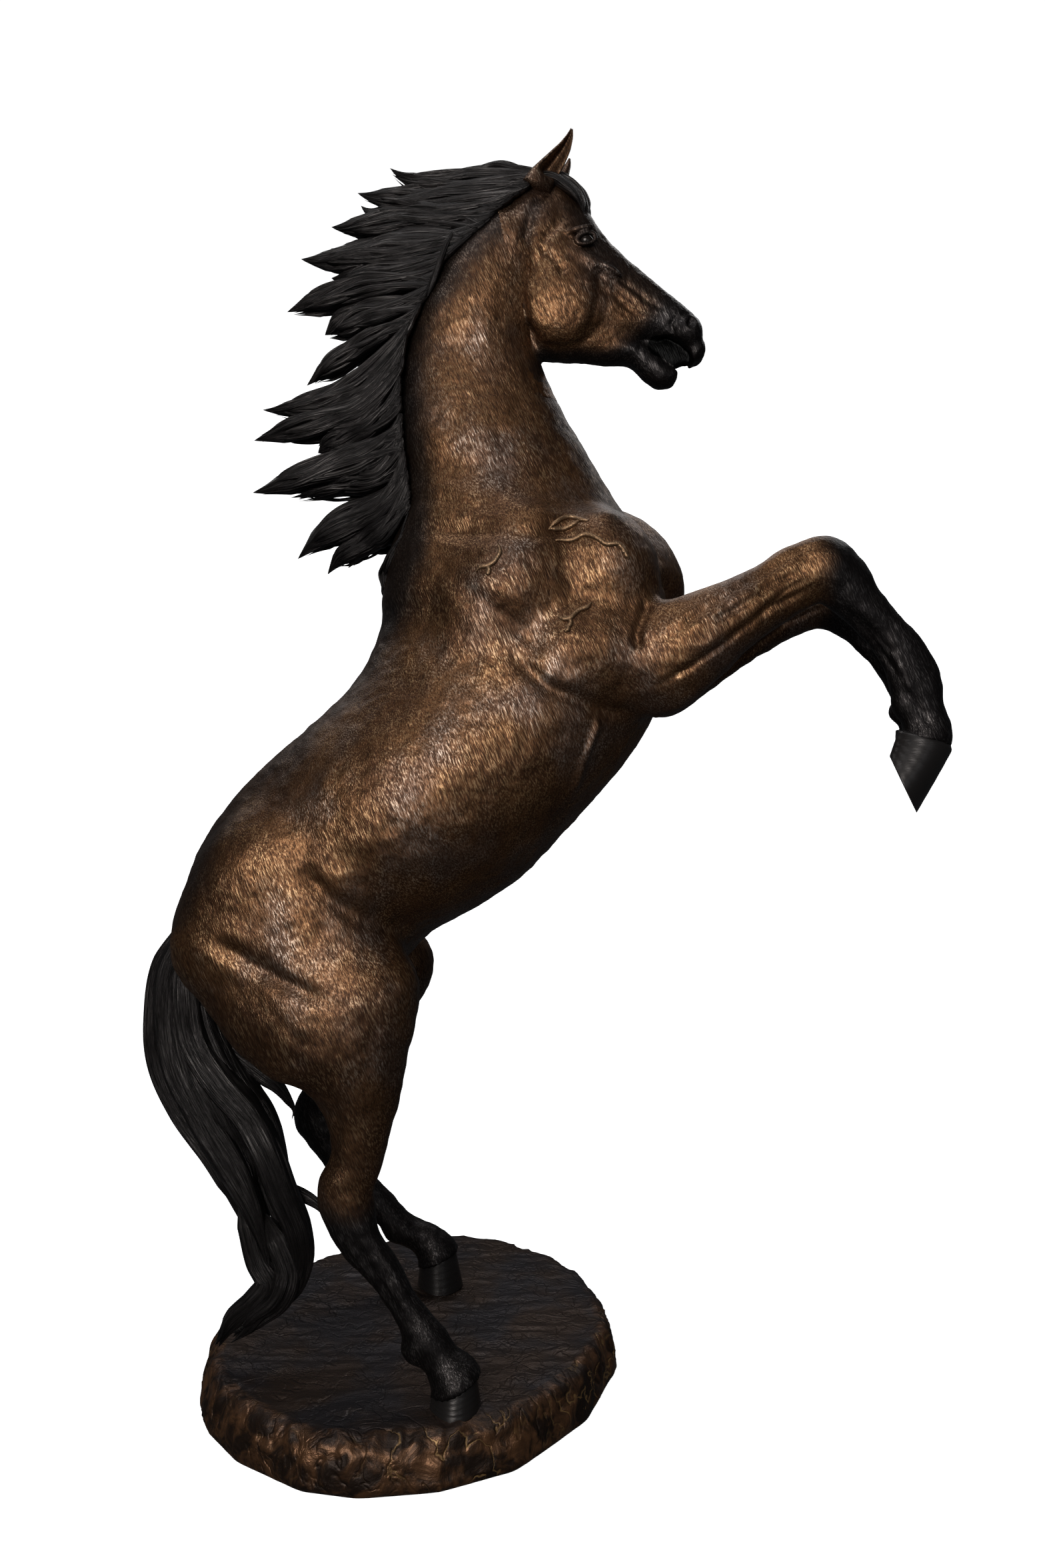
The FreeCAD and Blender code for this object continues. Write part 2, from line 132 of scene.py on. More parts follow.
class Strip:
    """A solid swept through elliptical sections whose planes all hold the Y axis."""

    def __init__(self, rows, cap=(0.05, 0.05), count=56):
        knots = chord(rows[:, :4])
        self.rows = hermite(rows, knots, np.linspace(0, knots[-1], count))
        self.cap = cap

    def box(self, margin):
        xs = self.rows[:, [0, 2]]
        zs = self.rows[:, [1, 3]]
        reach = self.rows[:, 4].max() + margin
        ys = self.rows[:, 5]
        grow = margin + max(self.cap)
        return ((xs.min() - grow, ys.min() - reach, zs.min() - grow),
                (xs.max() + grow, ys.max() + reach, zs.max() + grow))

    def plan(self, x, z):
        """Section coordinates of side-view points: offset, half depth, half width, y, egg, overshoot."""
        top = self.rows[:, 0:2]
        bottom = self.rows[:, 2:4]
        centre = (top + bottom) / 2
        half = np.linalg.norm(top - bottom, axis=1) / 2
        up = (top - bottom) / (2 * half[:, None])
        ahead = np.gradient(centre, axis=0)
        normal = np.stack([up[:, 1], -up[:, 0]], 1)
        normal *= np.sign((normal * ahead).sum(1))[:, None]
        best = np.full(x.shape, 1e9)
        out = [np.full(x.shape, fill) for fill in (9.0, 1.0, 1.0, 0.0, 0.0, 9.0)]

        def offer(inside, k, s, overshoot, cap):
            mix = [half[k] * (1 - s) + half[k + 1] * s]
            mix += [self.rows[k, c] * (1 - s) + self.rows[k + 1, c] * s for c in (4, 5, 6)]
            cx = centre[k, 0] * (1 - s) + centre[k + 1, 0] * s
            cz = centre[k, 1] * (1 - s) + centre[k + 1, 1] * s
            ux = up[k, 0] * (1 - s) + up[k + 1, 0] * s
            uz = up[k, 1] * (1 - s) + up[k + 1, 1] * s
            v = (x - cx) * ux + (z - cz) * uz
            score = (v / mix[0]) ** 2 + (overshoot / cap) ** 2
            take = inside & (score < best)
            best[take] = score[take]
            for target, value in zip(out, (v, mix[0], mix[1], mix[2], mix[3], overshoot / cap)):
                target[take] = np.broadcast_to(value, x.shape)[take]

        zero = np.zeros(x.shape)
        heights = [(x - centre[k, 0]) * normal[k, 0] + (z - centre[k, 1]) * normal[k, 1]
                   for k in range(len(centre))]
        for k in range(len(centre) - 1):
            h0, h1 = heights[k], heights[k + 1]
            inside = (h0 >= 0) & (h1 < 0)
            if inside.any():
                s = np.where(inside, h0 / np.where(inside, h0 - h1, 1), 0)
                offer(inside, k, s, zero, 1.0)
        last = len(centre) - 2
        offer(heights[0] < 0, 0, zero, np.maximum(-heights[0], 0), self.cap[0])
        offer(heights[-1] >= 0, last, zero + 1, np.maximum(heights[-1], 0), self.cap[1])
        return out


def ellipse_distance(y, plan):
    """Signed distance, near the surface, to the section that a plan describes."""
    v, half, width, centre, egg, over = plan
    f = np.clip(v / half, -1, 1)
    a = width * (1 - egg * f)
    yy = y - centre
    q2 = (yy / a) ** 2 + (v / half) ** 2 + over ** 2
    q = np.sqrt(q2) + 1e-6
    grad = np.sqrt((yy / a**2) ** 2 + (v / half**2) ** 2 + (over / CAP_REACH) ** 2) / q + 1e-6
    return np.clip((q - 1) / grad, -0.5, 0.5)


class Field:
    """A signed distance volume that shapes are blended into."""

    def __init__(self, low, high, voxel):
        self.voxel = voxel
        self.axes = [np.arange(a, b, voxel) for a, b in zip(low, high)]
        self.low = np.array([axis[0] for axis in self.axes])
        self.values = np.full([len(axis) for axis in self.axes], 0.4, np.float32)

    def window(self, low, high):
        cut = []
        for axis, a, b in zip(self.axes, low, high):
            i = int(np.searchsorted(axis, a))
            j = int(np.searchsorted(axis, b))
            cut.append(slice(i, max(j, i + 1)))
        x, y, z = (axis[c] for axis, c in zip(self.axes, cut))
        return tuple(cut), x[:, None, None], y[None, :, None], z[None, None, :]

    def blend(self, cut, distance, radius, remove=False):
        old = self.values[cut]
        if remove:
            h = np.clip(0.5 - 0.5 * (old + distance) / radius, 0, 1)
            new = old * (1 - h) - distance * h + radius * h * (1 - h)
        else:
            h = np.clip(0.5 + 0.5 * (old - distance) / radius, 0, 1)
            new = old * (1 - h) + distance * h - radius * h * (1 - h)
        self.values[cut] = new.astype(np.float32)

    def strip(self, strip, radius=0.03, remove=False):
        low, high = strip.box(radius + 0.03)
        cut, x, y, z = self.window(low, high)
        xx, zz = np.meshgrid(x[:, 0, 0], z[0, 0, :], indexing="ij")
        plan = [p[:, None, :].astype(np.float32) for p in strip.plan(xx, zz)]
        self.blend(cut, ellipse_distance(y.astype(np.float32), plan), radius, remove)

    def ball(self, centre, radii, angle=0.0, radius=0.02, remove=False, yaw=0.0):
        """Ellipsoid; angle turns it in the side view, yaw turns it about Z."""
        reach = max(radii) + radius + 0.02
        c = np.array(centre)
        cut, x, y, z = self.window(c - reach, c + reach)
        dx, dy, dz = x - c[0], y - c[1], z - c[2]
        if yaw:
            dx, dy = turned(dx, dy, yaw)
        u, w = turned(dx, dz, angle)
        a, b, d = radii
        q = np.sqrt((u / a) ** 2 + (dy / b) ** 2 + (w / d) ** 2) + 1e-6
        grad = np.sqrt((u / a**2) ** 2 + (dy / b**2) ** 2 + (w / d**2) ** 2) / q + 1e-6
        self.blend(cut, (q - 1) / grad, radius, remove)

    def pair(self, centre, radii, angle=0.0, radius=0.02, remove=False, yaw=0.0):
        """An ellipsoid on each side of the horse."""
        x, y, z = centre
        self.ball((x, -y, z), radii, angle, radius, remove, yaw)
        self.ball((x, y, z), radii, angle, radius, remove, -yaw)

    def surface(self):
        band = 4 * self.voxel
        grid = openvdb.FloatGrid(band)
        grid.copyFromArray(np.clip(self.values, -band, band), tolerance=1e-7)
        points, quads = grid.convertToQuads(isovalue=0)
        return points * self.voxel + self.low, quads


# ---------------------------------------------------------------- the horse's form

TRUNK = Strip(spans([
    (-0.55, 1.075, -0.455, 0.958, 0.095, 0.0),
    (-0.551, 1.19, -0.3, 0.925, 0.205, 0.0),
    (-0.517, 1.32, -0.15, 0.95, 0.262, 0.12),
    (-0.438, 1.444, -0.035, 1.026, 0.272, 0.16),
    (-0.343, 1.546, 0.068, 1.128, 0.272, 0.12),
    (-0.25, 1.624, 0.172, 1.183, 0.292, 0.08),
    (-0.17, 1.698, 0.283, 1.257, 0.296, 0.1),
    (-0.11, 1.77, 0.386, 1.365, 0.282, 0.16),
    (-0.07, 1.865, 0.479, 1.468, 0.258, 0.24),
    (-0.037, 1.97, 0.565, 1.572, 0.235, 0.26),
    (-0.025, 2.06, 0.63, 1.7, 0.218, 0.22),
    (0.015, 2.13, 0.655, 1.85, 0.198, 0.14),
    (0.06, 2.175, 0.62, 2.01, 0.165, 0.05),
]), cap=(0.06, 0.05))

NECK = Strip(spans([
    (-0.047, 1.96, 0.606, 1.98, 0.185, -0.1),
    (-0.022, 2.1, 0.566, 2.12, 0.16, -0.1),
    (0.002, 2.23, 0.504, 2.22, 0.135, -0.12),
    (-0.012, 2.34, 0.439, 2.33, 0.12, -0.15),
    (-0.016, 2.45, 0.377, 2.44, 0.102, -0.1),
    (-0.008, 2.56, 0.34, 2.52, 0.092, -0.05),
    (0.03, 2.69, 0.322, 2.58, 0.095, -0.12),
    (0.1, 2.81, 0.33, 2.64, 0.09, -0.1),
    (0.185, 2.915, 0.345, 2.72, 0.082, -0.05),
]), cap=(0.05, 0.05))

FORE_RIGHT = [
    (0.5, -0.14, 1.775, 0.125, 0.08),
    (0.6, -0.172, 1.782, 0.134, 0.084),
    (0.69, -0.19, 1.827, 0.107, 0.078),
    (0.77, -0.198, 1.877, 0.085, 0.068),
    (0.861, -0.2, 1.928, 0.073, 0.058),
    (0.931, -0.2, 1.971, 0.075, 0.053),
    (0.985, -0.2, 1.984, 0.078, 0.053),
    (1.025, -0.2, 1.956, 0.067, 0.05),
    (1.073, -0.2, 1.9, 0.052, 0.042),
    (1.131, -0.2, 1.837, 0.049, 0.035),
    (1.177, -0.2, 1.772, 0.057, 0.035),
    (1.199, -0.2, 1.707, 0.059, 0.04),
    (1.212, -0.2, 1.655, 0.051, 0.039),
    (1.222, -0.2, 1.612, 0.055, 0.047),
    (1.217, -0.2, 1.59, 0.06, 0.05),
]
FORE_LEFT = [
    (0.56, 0.14, 1.79, 0.125, 0.08),
    (0.652, 0.172, 1.795, 0.128, 0.084),
    (0.755, 0.19, 1.843, 0.105, 0.078),
    (0.861, 0.198, 1.892, 0.085, 0.068),
    (0.965, 0.2, 1.94, 0.073, 0.058),
    (1.045, 0.2, 1.974, 0.072, 0.053),
    (1.098, 0.2, 1.983, 0.073, 0.053),
    (1.146, 0.2, 1.957, 0.065, 0.05),
    (1.199, 0.2, 1.908, 0.052, 0.042),
    (1.257, 0.2, 1.843, 0.048, 0.035),
    (1.304, 0.2, 1.784, 0.048, 0.035),
    (1.338, 0.2, 1.725, 0.054, 0.04),
    (1.348, 0.2, 1.675, 0.051, 0.039),
    (1.36, 0.2, 1.636, 0.055, 0.047),
    (1.351, 0.2, 1.614, 0.058, 0.05),
]
HIND_RIGHT = [
    (-0.27, -0.15, 1.15, 0.23, 0.115),
    (-0.215, -0.185, 1.03, 0.225, 0.125),
    (-0.133, -0.215, 0.92, 0.188, 0.112),
    (-0.09, -0.232, 0.825, 0.12, 0.086),
    (-0.081, -0.24, 0.735, 0.079, 0.064),
    (-0.088, -0.246, 0.645, 0.062, 0.051),
    (-0.108, -0.25, 0.578, 0.061, 0.046),
    (-0.102, -0.254, 0.52, 0.06, 0.044),
    (-0.079, -0.262, 0.463, 0.049, 0.039),
    (-0.02, -0.27, 0.391, 0.039, 0.034),
    (0.031, -0.28, 0.314, 0.035, 0.033),
    (0.075, -0.289, 0.252, 0.045, 0.04),
    (0.107, -0.295, 0.213, 0.043, 0.039),
    (0.134, -0.3, 0.178, 0.057, 0.054),
    (0.14, -0.3, 0.164, 0.062, 0.058),
]
HIND_LEFT = [
    (-0.31, 0.15, 1.15, 0.23, 0.115),
    (-0.25, 0.185, 1.03, 0.22, 0.125),
    (-0.19, 0.212, 0.93, 0.175, 0.112),
    (-0.172, 0.228, 0.835, 0.118, 0.086),
    (-0.195, 0.236, 0.745, 0.087, 0.066),
    (-0.235, 0.242, 0.66, 0.069, 0.052),
    (-0.265, 0.246, 0.595, 0.066, 0.047),
    (-0.254, 0.249, 0.541, 0.059, 0.046),
    (-0.224, 0.25, 0.481, 0.044, 0.041),
    (-0.17, 0.252, 0.412, 0.041, 0.036),
    (-0.103, 0.254, 0.339, 0.041, 0.036),
    (-0.036, 0.256, 0.27, 0.04, 0.042),
    (0.015, 0.257, 0.246, 0.044, 0.039),
    (0.048, 0.258, 0.208, 0.057, 0.054),
    (0.054, 0.258, 0.192, 0.062, 0.058),
]


def body_field():
    """Trunk, neck and legs, with the large muscles."""
    field = Field((-0.7, -0.42, 0.13), (1.44, 0.42, 2.98), VOXEL)
    field.strip(TRUNK, 0.03)
    field.strip(NECK, 0.07)
    for rows, blend in ((HIND_RIGHT, 0.05), (HIND_LEFT, 0.05), (FORE_RIGHT, 0.045), (FORE_LEFT, 0.045)):
        field.strip(Strip(limb(rows), cap=(0.05, 0.004)), blend)
    # buttocks, croup and flank
    field.pair((-0.39, 0.13, 1.105), (0.16, 0.13, 0.145), -40, 0.05)
    field.pair((-0.33, 0.15, 1.27), (0.18, 0.115, 0.14), 45, 0.05)
    field.pair((-0.06, 0.2, 0.98), (0.13, 0.085, 0.1), 60, 0.05)
    # shoulder blade, point of shoulder, breast and elbow
    field.pair((0.25, 0.13, 1.95), (0.2, 0.105, 0.12), 60, 0.06)
    field.pair((0.5, 0.12, 2.0), (0.11, 0.11, 0.15), 20, 0.05)
    field.ball((0.576, 0.125, 2.064), (0.103, 0.105, 0.166), 42, 0.06)
    field.pair((0.43, 0.16, 1.79), (0.15, 0.09, 0.11), 20, 0.05)
    # bones of the wrists, fore fetlocks, hocks and hind fetlocks
    for right, left, radii, angle in (
            ((0.985, -0.2, 1.985), (1.1, 0.2, 1.985), (0.07, 0.056, 0.066), -10),
            ((1.17, -0.2, 1.668), (1.3, 0.2, 1.682), (0.024, 0.024, 0.026), 60),
            ((-0.142, -0.252, 0.566), (-0.305, 0.248, 0.585), (0.03, 0.026, 0.055), -8),
            ((0.048, -0.288, 0.23), (-0.058, 0.256, 0.262), (0.03, 0.03, 0.026), -30)):
        field.ball(right, radii, angle)
        field.ball(left, radii, angle)
    return field


HEAD = Strip(spans([
    (0.215, 2.935, 0.328, 2.722, 0.07, 0.0),
    (0.3, 2.995, 0.31, 2.66, 0.08, 0.05),
    (0.385, 2.985, 0.305, 2.6, 0.088, 0.1),
    (0.446, 2.925, 0.325, 2.556, 0.092, 0.15),
    (0.485, 2.865, 0.385, 2.548, 0.086, 0.12),
    (0.535, 2.812, 0.45, 2.556, 0.07, 0.05),
    (0.591, 2.763, 0.53, 2.572, 0.058, 0.0),
    (0.646, 2.717, 0.598, 2.594, 0.05, -0.05),
    (0.698, 2.673, 0.65, 2.578, 0.05, -0.05),
    (0.734, 2.636, 0.684, 2.556, 0.046, 0.0),
    (0.738, 2.592, 0.704, 2.532, 0.036, 0.0),
]), cap=(0.05, 0.01))

JAW = Strip(spans([
    (0.42, 2.64, 0.4, 2.552, 0.05, 0.0),
    (0.5, 2.62, 0.49, 2.538, 0.046, 0.0),
    (0.575, 2.59, 0.56, 2.532, 0.042, 0.0),
    (0.615, 2.566, 0.59, 2.5, 0.04, 0.0),
    (0.648, 2.536, 0.628, 2.48, 0.036, 0.0),
    (0.672, 2.52, 0.658, 2.486, 0.026, 0.0),
]), cap=(0.03, 0.008))

MOUTH = Strip(spans([
    (0.62, 2.59, 0.616, 2.576, 0.1, 0.0),
    (0.645, 2.6, 0.634, 2.558, 0.1, 0.0),
    (0.672, 2.588, 0.652, 2.542, 0.1, 0.0),
    (0.698, 2.566, 0.672, 2.534, 0.1, 0.0),
]), cap=(0.004, 0.02))

TONGUE = Strip(spans([
    (0.58, 2.604, 0.57, 2.55, 0.016, 0.0),
    (0.645, 2.604, 0.625, 2.53, 0.014, 0.0),
    (0.7, 2.585, 0.668, 2.528, 0.013, 0.0),
    (0.72, 2.57, 0.69, 2.536, 0.012, 0.0),
]), cap=(0.01, 0.01))

EYE_AT = (0.442, 2.81)                # eye centre in the side view


def head_field():
    """Skull, jaw and lips, with the hollows, the open mouth and the eyelids."""
    field = Field((0.14, -0.15, 2.44), (0.8, 0.15, 3.06), HEAD_VOXEL)
    field.strip(HEAD, 0.02)
    field.strip(JAW, 0.02)
    field.strip(NECK, 0.03)
    # cheek disc, brow, cheekbone, nose and lips
    field.pair((0.385, 0.058, 2.672), (0.104, 0.042, 0.104), 0, 0.012)
    field.pair((0.428, 0.08, 2.833), (0.034, 0.014, 0.009), 14, 0.01)
    field.pair((0.455, 0.07, 2.76), (0.08, 0.016, 0.014), -24, 0.018)
    field.pair((0.698, 0.036, 2.608), (0.032, 0.026, 0.032), -30, 0.012)
    field.pair((0.722, 0.014, 2.566), (0.02, 0.024, 0.026), -20, 0.012)
    field.ball((0.64, 0.0, 2.505), (0.03, 0.034, 0.024), -10, 0.012)
    # hollows: temple, eye socket, cheek groove, nostril and mouth
    field.pair((0.382, 0.098, 2.878), (0.026, 0.02, 0.022), 0, 0.02, True)
    field.pair((EYE_AT[0], 0.102, EYE_AT[1]), (0.024, 0.024, 0.016), 15, 0.012, True)
    field.pair((0.551, 0.08, 2.655), (0.07, 0.024, 0.02), -42, 0.02, True)
    field.strip(MOUTH, 0.006, True)
    field.strip(TONGUE, 0.006)
    field.pair((0.707, 0.068, 2.624), (0.011, 0.026, 0.021), -25, 0.006, True, yaw=25)
    # eyelids
    half, slant, deep, beads = 0.023, 0.2, 0.085, 14
    for side in (-1, 1):
        for turn in (math.pi * k / (beads - 1) for k in range(beads)):
            for lift, thick in ((0.015, 0.005), (-0.013, 0.0038)):
                x = EYE_AT[0] + half * math.cos(turn)
                z = EYE_AT[1] + lift * math.sin(turn) + slant * half * math.cos(turn)
                y = side * (deep - 0.25 * max(x - EYE_AT[0], 0))
                field.ball((x, y, z), (thick, thick, thick), 0, 0.004)
    return field


# ---------------------------------------------------------------- relief cut into the skin

def seen(points):
    """Side-view coordinates in the mid-plane, along the viewer's lines, the same on both sides."""
    ex, ey, ez = EYE_POINT
    scale = -ey / (-np.abs(points[:, 1]) - ey)
    return ex + (points[:, 0] - ex) * scale, ez + (points[:, 2] - ez) * scale


def line_distance(x, z, line):
    """Distance to a polyline in the side view and the position along it, 0 to 1."""
    line = np.asarray(line, float)
    lengths = np.linalg.norm(np.diff(line, axis=0), axis=1)
    total = lengths.sum()
    best = np.full(x.shape, 1e9)
    where = np.zeros(x.shape)
    passed = 0.0
    for (ax, az), (bx, bz), length in zip(line, line[1:], lengths):
        dx, dz = bx - ax, bz - az
        s = np.clip(((x - ax) * dx + (z - az) * dz) / length**2, 0, 1)
        d = np.hypot(x - ax - s * dx, z - az - s * dz)
        closer = d < best
        best = np.where(closer, d, best)
        where = np.where(closer, (passed + s * length) / total, where)
        passed += length
    return best, where


# Lines in the side view: height (negative cuts in), half width, points
BODY_LINES = [
    (-0.012, 0.026, [(-0.27, 1.3), (-0.24, 1.245), (-0.2, 1.205), (-0.15, 1.175), (-0.1, 1.15),
                     (-0.05, 1.135),
                     (0.04, 1.13)]),
    (-0.011, 0.024, [(-0.5, 1.1), (-0.4, 1.045), (-0.3, 0.99), (-0.2, 0.94)]),
    (-0.01, 0.02, [(0.25, 1.83), (0.3, 1.78), (0.35, 1.735), (0.4, 1.715), (0.45, 1.69), (0.5, 1.675),
                     (0.6, 1.65)]),
    (-0.01, 0.026, [(0.0, 2.13), (0.15, 2.12), (0.3, 2.12), (0.45, 2.13)]),
    (-0.012, 0.014, [(0.61, 1.95), (0.59, 1.92), (0.575, 1.87), (0.575, 1.82)]),
    (-0.008, 0.03, [(0.1, 2.02), (0.18, 1.95), (0.28, 1.88), (0.36, 1.8)]),
    (0.008, 0.009, [(0.48, 1.66), (0.47, 1.62), (0.445, 1.56), (0.41, 1.46)]),
]
# Raised veins on the shoulder, in the side view
VEINS = [
    [(0.228, 2.09), (0.231, 2.067), (0.222, 2.05), (0.203, 2.036), (0.182, 2.031), (0.172, 2.018)],
    [(0.205, 2.037), (0.204, 2.025), (0.205, 2.01)],
    [(0.462, 1.945), (0.453, 1.935), (0.426, 1.922), (0.409, 1.906), (0.392, 1.901), (0.376, 1.91)],
    [(0.411, 1.907), (0.408, 1.893), (0.396, 1.868)],
    [(0.37, 2.1), (0.416, 2.1), (0.445, 2.115), (0.474, 2.104), (0.503, 2.086), (0.525, 2.092),
     (0.554, 2.068)],
    [(0.525, 2.092), (0.54, 2.075), (0.553, 2.05)],
    [(0.352, 2.128), (0.38, 2.15), (0.409, 2.158), (0.432, 2.15), (0.455, 2.148)],
    [(0.352, 2.128), (0.385, 2.126), (0.412, 2.136), (0.432, 2.15)],
]
# The same for the forelegs, read in the plane of the right foreleg
FORE_LINES = [
    (-0.006, 0.01, [(0.63, 1.83), (0.7, 1.89), (0.8, 1.95), (0.93, 2.03)]),
    (-0.007, 0.009, [(0.6, 1.72), (0.66, 1.75), (0.75, 1.81), (0.85, 1.89), (0.96, 1.945)]),
    (-0.005, 0.009, [(0.72, 1.86), (0.8, 1.905), (0.88, 1.96), (0.95, 1.99)]),
    (-0.004, 0.007, [(0.84, 1.885), (0.9, 1.94), (0.95, 1.965)]),
    (-0.006, 0.008, [(1.03, 1.895), (1.08, 1.845), (1.12, 1.79), (1.155, 1.74)]),
    (-0.004, 0.007, [(1.055, 1.89), (1.1, 1.84), (1.15, 1.785)]),
    (0.004, 0.009, [(1.14, 1.8), (1.17, 1.75), (1.19, 1.7)]),
    (-0.004, 0.008, [(1.17, 1.71), (1.2, 1.67), (1.235, 1.62)]),
]
HIND_LINES = [
    (-0.006, 0.012, [(-0.15, 0.8), (-0.135, 0.72), (-0.145, 0.62)]),
    (-0.006, 0.01, [(-0.1, 0.46), (-0.065, 0.4), (-0.02, 0.33), (0.02, 0.27)]),
    (0.004, 0.01, [(-0.06, 0.47), (-0.02, 0.4), (0.03, 0.32)]),
]
HEAD_LINES = [
    (-0.01, 0.014, [(0.322, 2.945), (0.3, 2.88), (0.286, 2.8), (0.28, 2.72), (0.292, 2.65), (0.318, 2.59),
                     (0.35, 2.56)]),
    (-0.006, 0.012, [(0.385, 2.9), (0.35, 2.868), (0.335, 2.84)]),
    (-0.006, 0.014, [(0.48, 2.8), (0.482, 2.72), (0.462, 2.64), (0.43, 2.6)]),
    (-0.005, 0.01, [(0.335, 2.835), (0.37, 2.8), (0.4, 2.765)]),
    (-0.004, 0.008, [(0.47, 2.8), (0.53, 2.755), (0.6, 2.7), (0.65, 2.67)]),
    (0.0018, 0.006, [(0.42, 2.755), (0.5, 2.735), (0.57, 2.68), (0.62, 2.66)]),
    (0.0016, 0.005, [(0.5, 2.735), (0.52, 2.69), (0.57, 2.655)]),
    (-0.004, 0.006, [(0.585, 2.59), (0.578, 2.572), (0.588, 2.556)]),
    (-0.004, 0.005, [(0.675, 2.665), (0.66, 2.64), (0.665, 2.615)]),
]


def relief(points, lines):
    """Height to add along the normal for a family of lines."""
    x, z = seen(points)
    height = np.zeros(len(points))
    near = np.clip((np.abs(points[:, 1]) - 0.02) / 0.03, 0, 1)
    for depth, width, line in lines:
        d, where = line_distance(x, z, line)
        fade = np.clip(np.minimum(where, 1 - where) / 0.15, 0.25, 1)
        height += depth * fade * np.exp(-(d / width) ** 2)
    return height * near


def plane_lines(lines, y):
    """Lines read in the plane at y, moved to the mid-plane along the viewer's lines."""
    ex, ey, ez = EYE_POINT
    scale = -ey / (y - ey)
    return [(depth, width * scale, [(ex + (x - ex) * scale, ez + (z - ez) * scale) for x, z in line])
            for depth, width, line in lines]


# ---------------------------------------------------------------- meshes

def lattice(points, seed):
    """Smooth pseudo-random values in -1..1 at 3-D points."""
    table = np.random.default_rng(seed).uniform(-1, 1, 4096)
    base = np.floor(points).astype(np.int64)
    f = points - base
    f = f * f * (3 - 2 * f)
    total = np.zeros(len(points))
    for corner in range(8):
        o = np.array([corner & 1, corner >> 1 & 1, corner >> 2 & 1])
        cell = base + o
        value = table[(cell[:, 0] * 73856093 ^ cell[:, 1] * 19349663 ^ cell[:, 2] * 83492791) & 4095]
        total += value * np.prod(np.where(o, f, 1 - f), axis=1)
    return total


def vertex_normals(points, quads):
    p = points[quads]
    n = np.cross(p[:, 2] - p[:, 0], p[:, 3] - p[:, 1])
    out = np.zeros_like(points)
    for k in range(4):
        np.add.at(out, quads[:, k], n)
    return unit(out, 1e-12)


def tube_faces(count, around, inward=False):
    """Faces of a closed tube whose rings follow one another."""
    faces = []
    for i in range(count - 1):
        for j in range(around):
            k = (j + 1) % around
            a, b, c, d = i * around + j, i * around + k, (i + 1) * around + k, (i + 1) * around + j
            faces.append((a, d, c, b) if inward else (a, b, c, d))
    near = tuple(range(around))
    far = tuple((count - 1) * around + j for j in range(around))
    return faces + ([near, far[::-1]] if inward else [near[::-1], far])


def joined(parts):
    """Several (points, faces) as one."""
    points, faces = [], []
    offset = 0
    for p, f in parts:
        points.append(p)
        faces += [tuple(i + offset for i in face) for face in f]
        offset += len(p)
    return np.vstack(points), faces


def lipped(points, faces, normals, values, depth=0.008):
    """The same surface with its open rims turned inwards, so that a cap closes it below the skin."""
    pairs = np.stack([faces, np.roll(faces, -1, axis=1)], 2).reshape(-1, 2)
    keys = np.sort(pairs, axis=1)
    _, first, count = np.unique(keys, axis=0, return_index=True, return_counts=True)
    rim = pairs[first[count == 1]]
    old, inverse = np.unique(rim, return_inverse=True)
    inner = inverse.reshape(rim.shape) + len(points)
    lip = np.stack([rim[:, 1], rim[:, 0], inner[:, 0], inner[:, 1]], 1)
    return (np.vstack([points, points[old] - depth * normals[old]]), np.vstack([faces, lip]),
            np.vstack([normals, normals[old]]), np.concatenate([values, values[old]]))


def added(name, data):
    """A new object in the scene."""
    obj = bpy.data.objects.new(name, data)
    bpy.context.scene.collection.objects.link(obj)
    return obj


def make_object(name, points, faces, normals=None, attributes=None, close=False):
    """A mesh object from arrays, with named vertex values for its material."""
    mesh = bpy.data.meshes.new(name)
    mesh.from_pydata([tuple(p) for p in points], [], [tuple(f) for f in faces])
    for key, values in (attributes or {}).items():
        layer = mesh.attributes.new(key, "FLOAT", "POINT")
        layer.data.foreach_set("value", np.asarray(values, np.float32))
    if close:
        bm = bmesh.new()
        bm.from_mesh(mesh)
        rim = [e for e in bm.edges if e.is_boundary]
        bmesh.ops.holes_fill(bm, edges=rim, sides=0)
        bm.to_mesh(mesh)
        bm.free()
    mesh.polygons.foreach_set("use_smooth", [True] * len(mesh.polygons))
    if normals is not None:
        mesh.normals_split_custom_set_from_vertices([tuple(n) for n in normals])
    return added(name, mesh)


def piece(obj, nodes, material):
    """Give a finished object its material and body, and hide the CAD nodes it stands for."""
    obj.data.materials.append(material)
    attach(obj, "root")
    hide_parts(*nodes.split())


def sweep(name, rings, attributes=None):
    """A closed mesh through rings of points, with flat ends."""
    count, around, _ = rings.shape
    return make_object(name, rings.reshape(-1, 3), tube_faces(count, around), None, attributes)


def chiselled(points, quads, height, fine, coarse):
    """The skin raised by height and roughened by two (height, frequency, seed) waves; and its normals."""
    normals = vertex_normals(points, quads)
    points = points + normals * height[:, None]
    wave = fine[0] * lattice(points * fine[1], fine[2]) + coarse[0] * lattice(points * coarse[1], coarse[2])
    points = points + normals * wave[:, None]
    return points, vertex_normals(points, quads)


def casting(name, quads, points, normals, bay_shade_and_glint, material):
    """One casting: the chosen faces of a skin, closed at its seams."""
    used, inverse = np.unique(quads, return_inverse=True)
    skin, faces, facing, bay_shade_and_glint = lipped(points[used], inverse.reshape(quads.shape), normals[used], bay_shade_and_glint[used])
    obj = make_object(name + "_skin", skin, faces, facing, {"bay_shade_and_glint": bay_shade_and_glint}, close=True)
    piece(obj, name, material)


def beyond(points, at, towards):
    """How far points lie past a plane, in the side view."""
    direction = np.array(towards, float)
    direction /= np.linalg.norm(direction)
    return (points[:, 0] - at[0]) * direction[0] + (points[:, 2] - at[1]) * direction[1]


